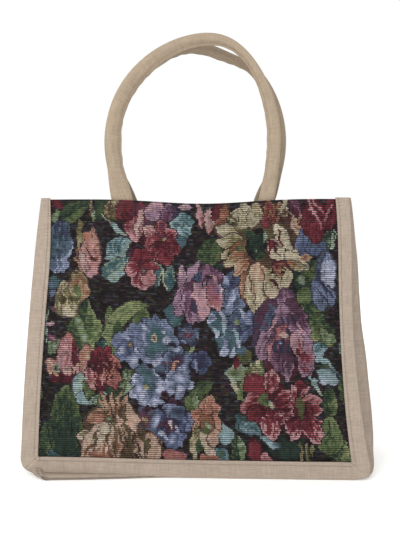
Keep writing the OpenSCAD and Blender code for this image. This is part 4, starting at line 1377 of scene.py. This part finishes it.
def cover_swell(line, flat):
    """How the cover stands off a true tube: a groove with a ridge beside it along the seam, puckers across
    the seam and long shallow creases, all fading where the handle is flattened."""
    along = walked(line[:, None], 0)
    from_seam = (handle_angles - seam_at + 180) % 360 - 180
    from_seam = from_seam + 3 * np.sin(along / 19)
    groove = -seam_groove * bell(from_seam / 9) + seam_ridge * bell((from_seam + 20) / 13)
    pucker = seam_pucker * np.sin(along / 2.6 + 1.5 * np.sin(along / 9)) * bell(from_seam / 42)
    crease = cover_crease * np.sin(np.radians(5 * handle_angles) + along / 60 + np.sin(along / 37))
    slow = cover_slow * np.sin(along / 31 + np.radians(handle_angles))
    return (groove + pucker + crease + slow) * (1 - flat_share * flat)[:, None]


def mirrored_back(rings):
    """Rings mirrored from the front to the back, and run the other way round so that they face outwards."""
    return (rings * np.array([1, -1, 1]))[:, ::-1]


def ring_walls(rings):
    """Point numbers of a grid of rings, those of the next point round each ring, and the faces between."""
    rows, sides = rings.shape[:2]
    first = np.arange(rows * sides).reshape(rows, sides)
    after = np.roll(first, -1, 1)
    return first, after, np.stack([first[:-1], first[1:], after[1:], after[:-1]], -1).reshape(-1, 4)


def tube_piece(name, outer, inner, flat, material):
    """Closed wall between outer and inner rings, joined round both ends."""
    first, after, wall = ring_walls(outer)
    under = first.size
    low = np.stack([first[0], after[0], after[0] + under, first[0] + under], -1)
    high = np.stack([after[-1], first[-1], first[-1] + under, after[-1] + under], -1)
    faces = np.concatenate([wall, wall[:, ::-1] + under, low, high]).tolist()
    points = np.concatenate([outer.reshape(-1, 3), inner.reshape(-1, 3)])
    return new_piece(name, points, faces, np.concatenate([flat, flat]), material)


handle_canvas = canvas_cloth("handle_canvas", handle_colour)
rope, rope_shader = new_finish("cotton_rope", roughness=0.95)
rope_shader.inputs["Base Color"].default_value = (*linear(rope_colour), 1)

front_sizes = dict(left_bow=9.5, right_bow=8.2, sway=11.0, rise=0.4,
                   dip=-2.2, pinch=3.8, right_thin=2.5, right_tab=0.3)
back_sizes = dict(left_bow=16.5, right_bow=16.2, sway=5.0, rise=4.0,
                  dip=8.5, pinch=5.4, right_thin=1.0, right_tab=1.0)
for side_name, line_sizes, turned in (("front", front_sizes, False), ("back", back_sizes, True)):
    line, flat, deep, wide = handle_line(**line_sizes)
    swell = cover_swell(line, flat)
    outer = handle_rings(line, deep, wide, 0, swell)
    inner = handle_rings(line, deep, wide, canvas_t, 0)
    around = np.linspace(0, math.pi * handle_d, handle_sides, endpoint=False)
    cloth_flat = np.stack(np.broadcast_arrays(around[None], walked(line[:, None], 0)), -1).reshape(-1, 2)
    if turned:
        outer, inner = mirrored_back(outer), mirrored_back(inner)
    cover = tube_piece(side_name + "_handle_cloth", outer, inner, cloth_flat, handle_canvas)
    # The back handle's cover is painted darker all over, as painted shade for where it lies behind the front
    # handle.
    if turned:
        mark_painted_side_shade(cover, np.ones(len(cover.data.vertices), np.float32))
    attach(cover, "root")
    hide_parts(side_name + "_handle_cover")

    # The rope inside, of three strands laid to the right.
    laid = 1.5 * np.radians(handle_angles) + walked(line[:, None], 0) / strand_turn
    strands = -strand_depth * np.abs(np.cos(laid)) * (1 - flat)[:, None]
    core = handle_rings(line, deep, wide, canvas_t + 2 * cloth_gap, strands)
    if turned:
        core = mirrored_back(core)
    first, _, walls = ring_walls(core)
    faces = walls.tolist() + [first[0].tolist(), first[-1, ::-1].tolist()]
    filler = new_piece(side_name + "_handle_rope", core, faces, cloth_flat, rope)
    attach(filler, "root")
    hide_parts(side_name + "_handle_core")
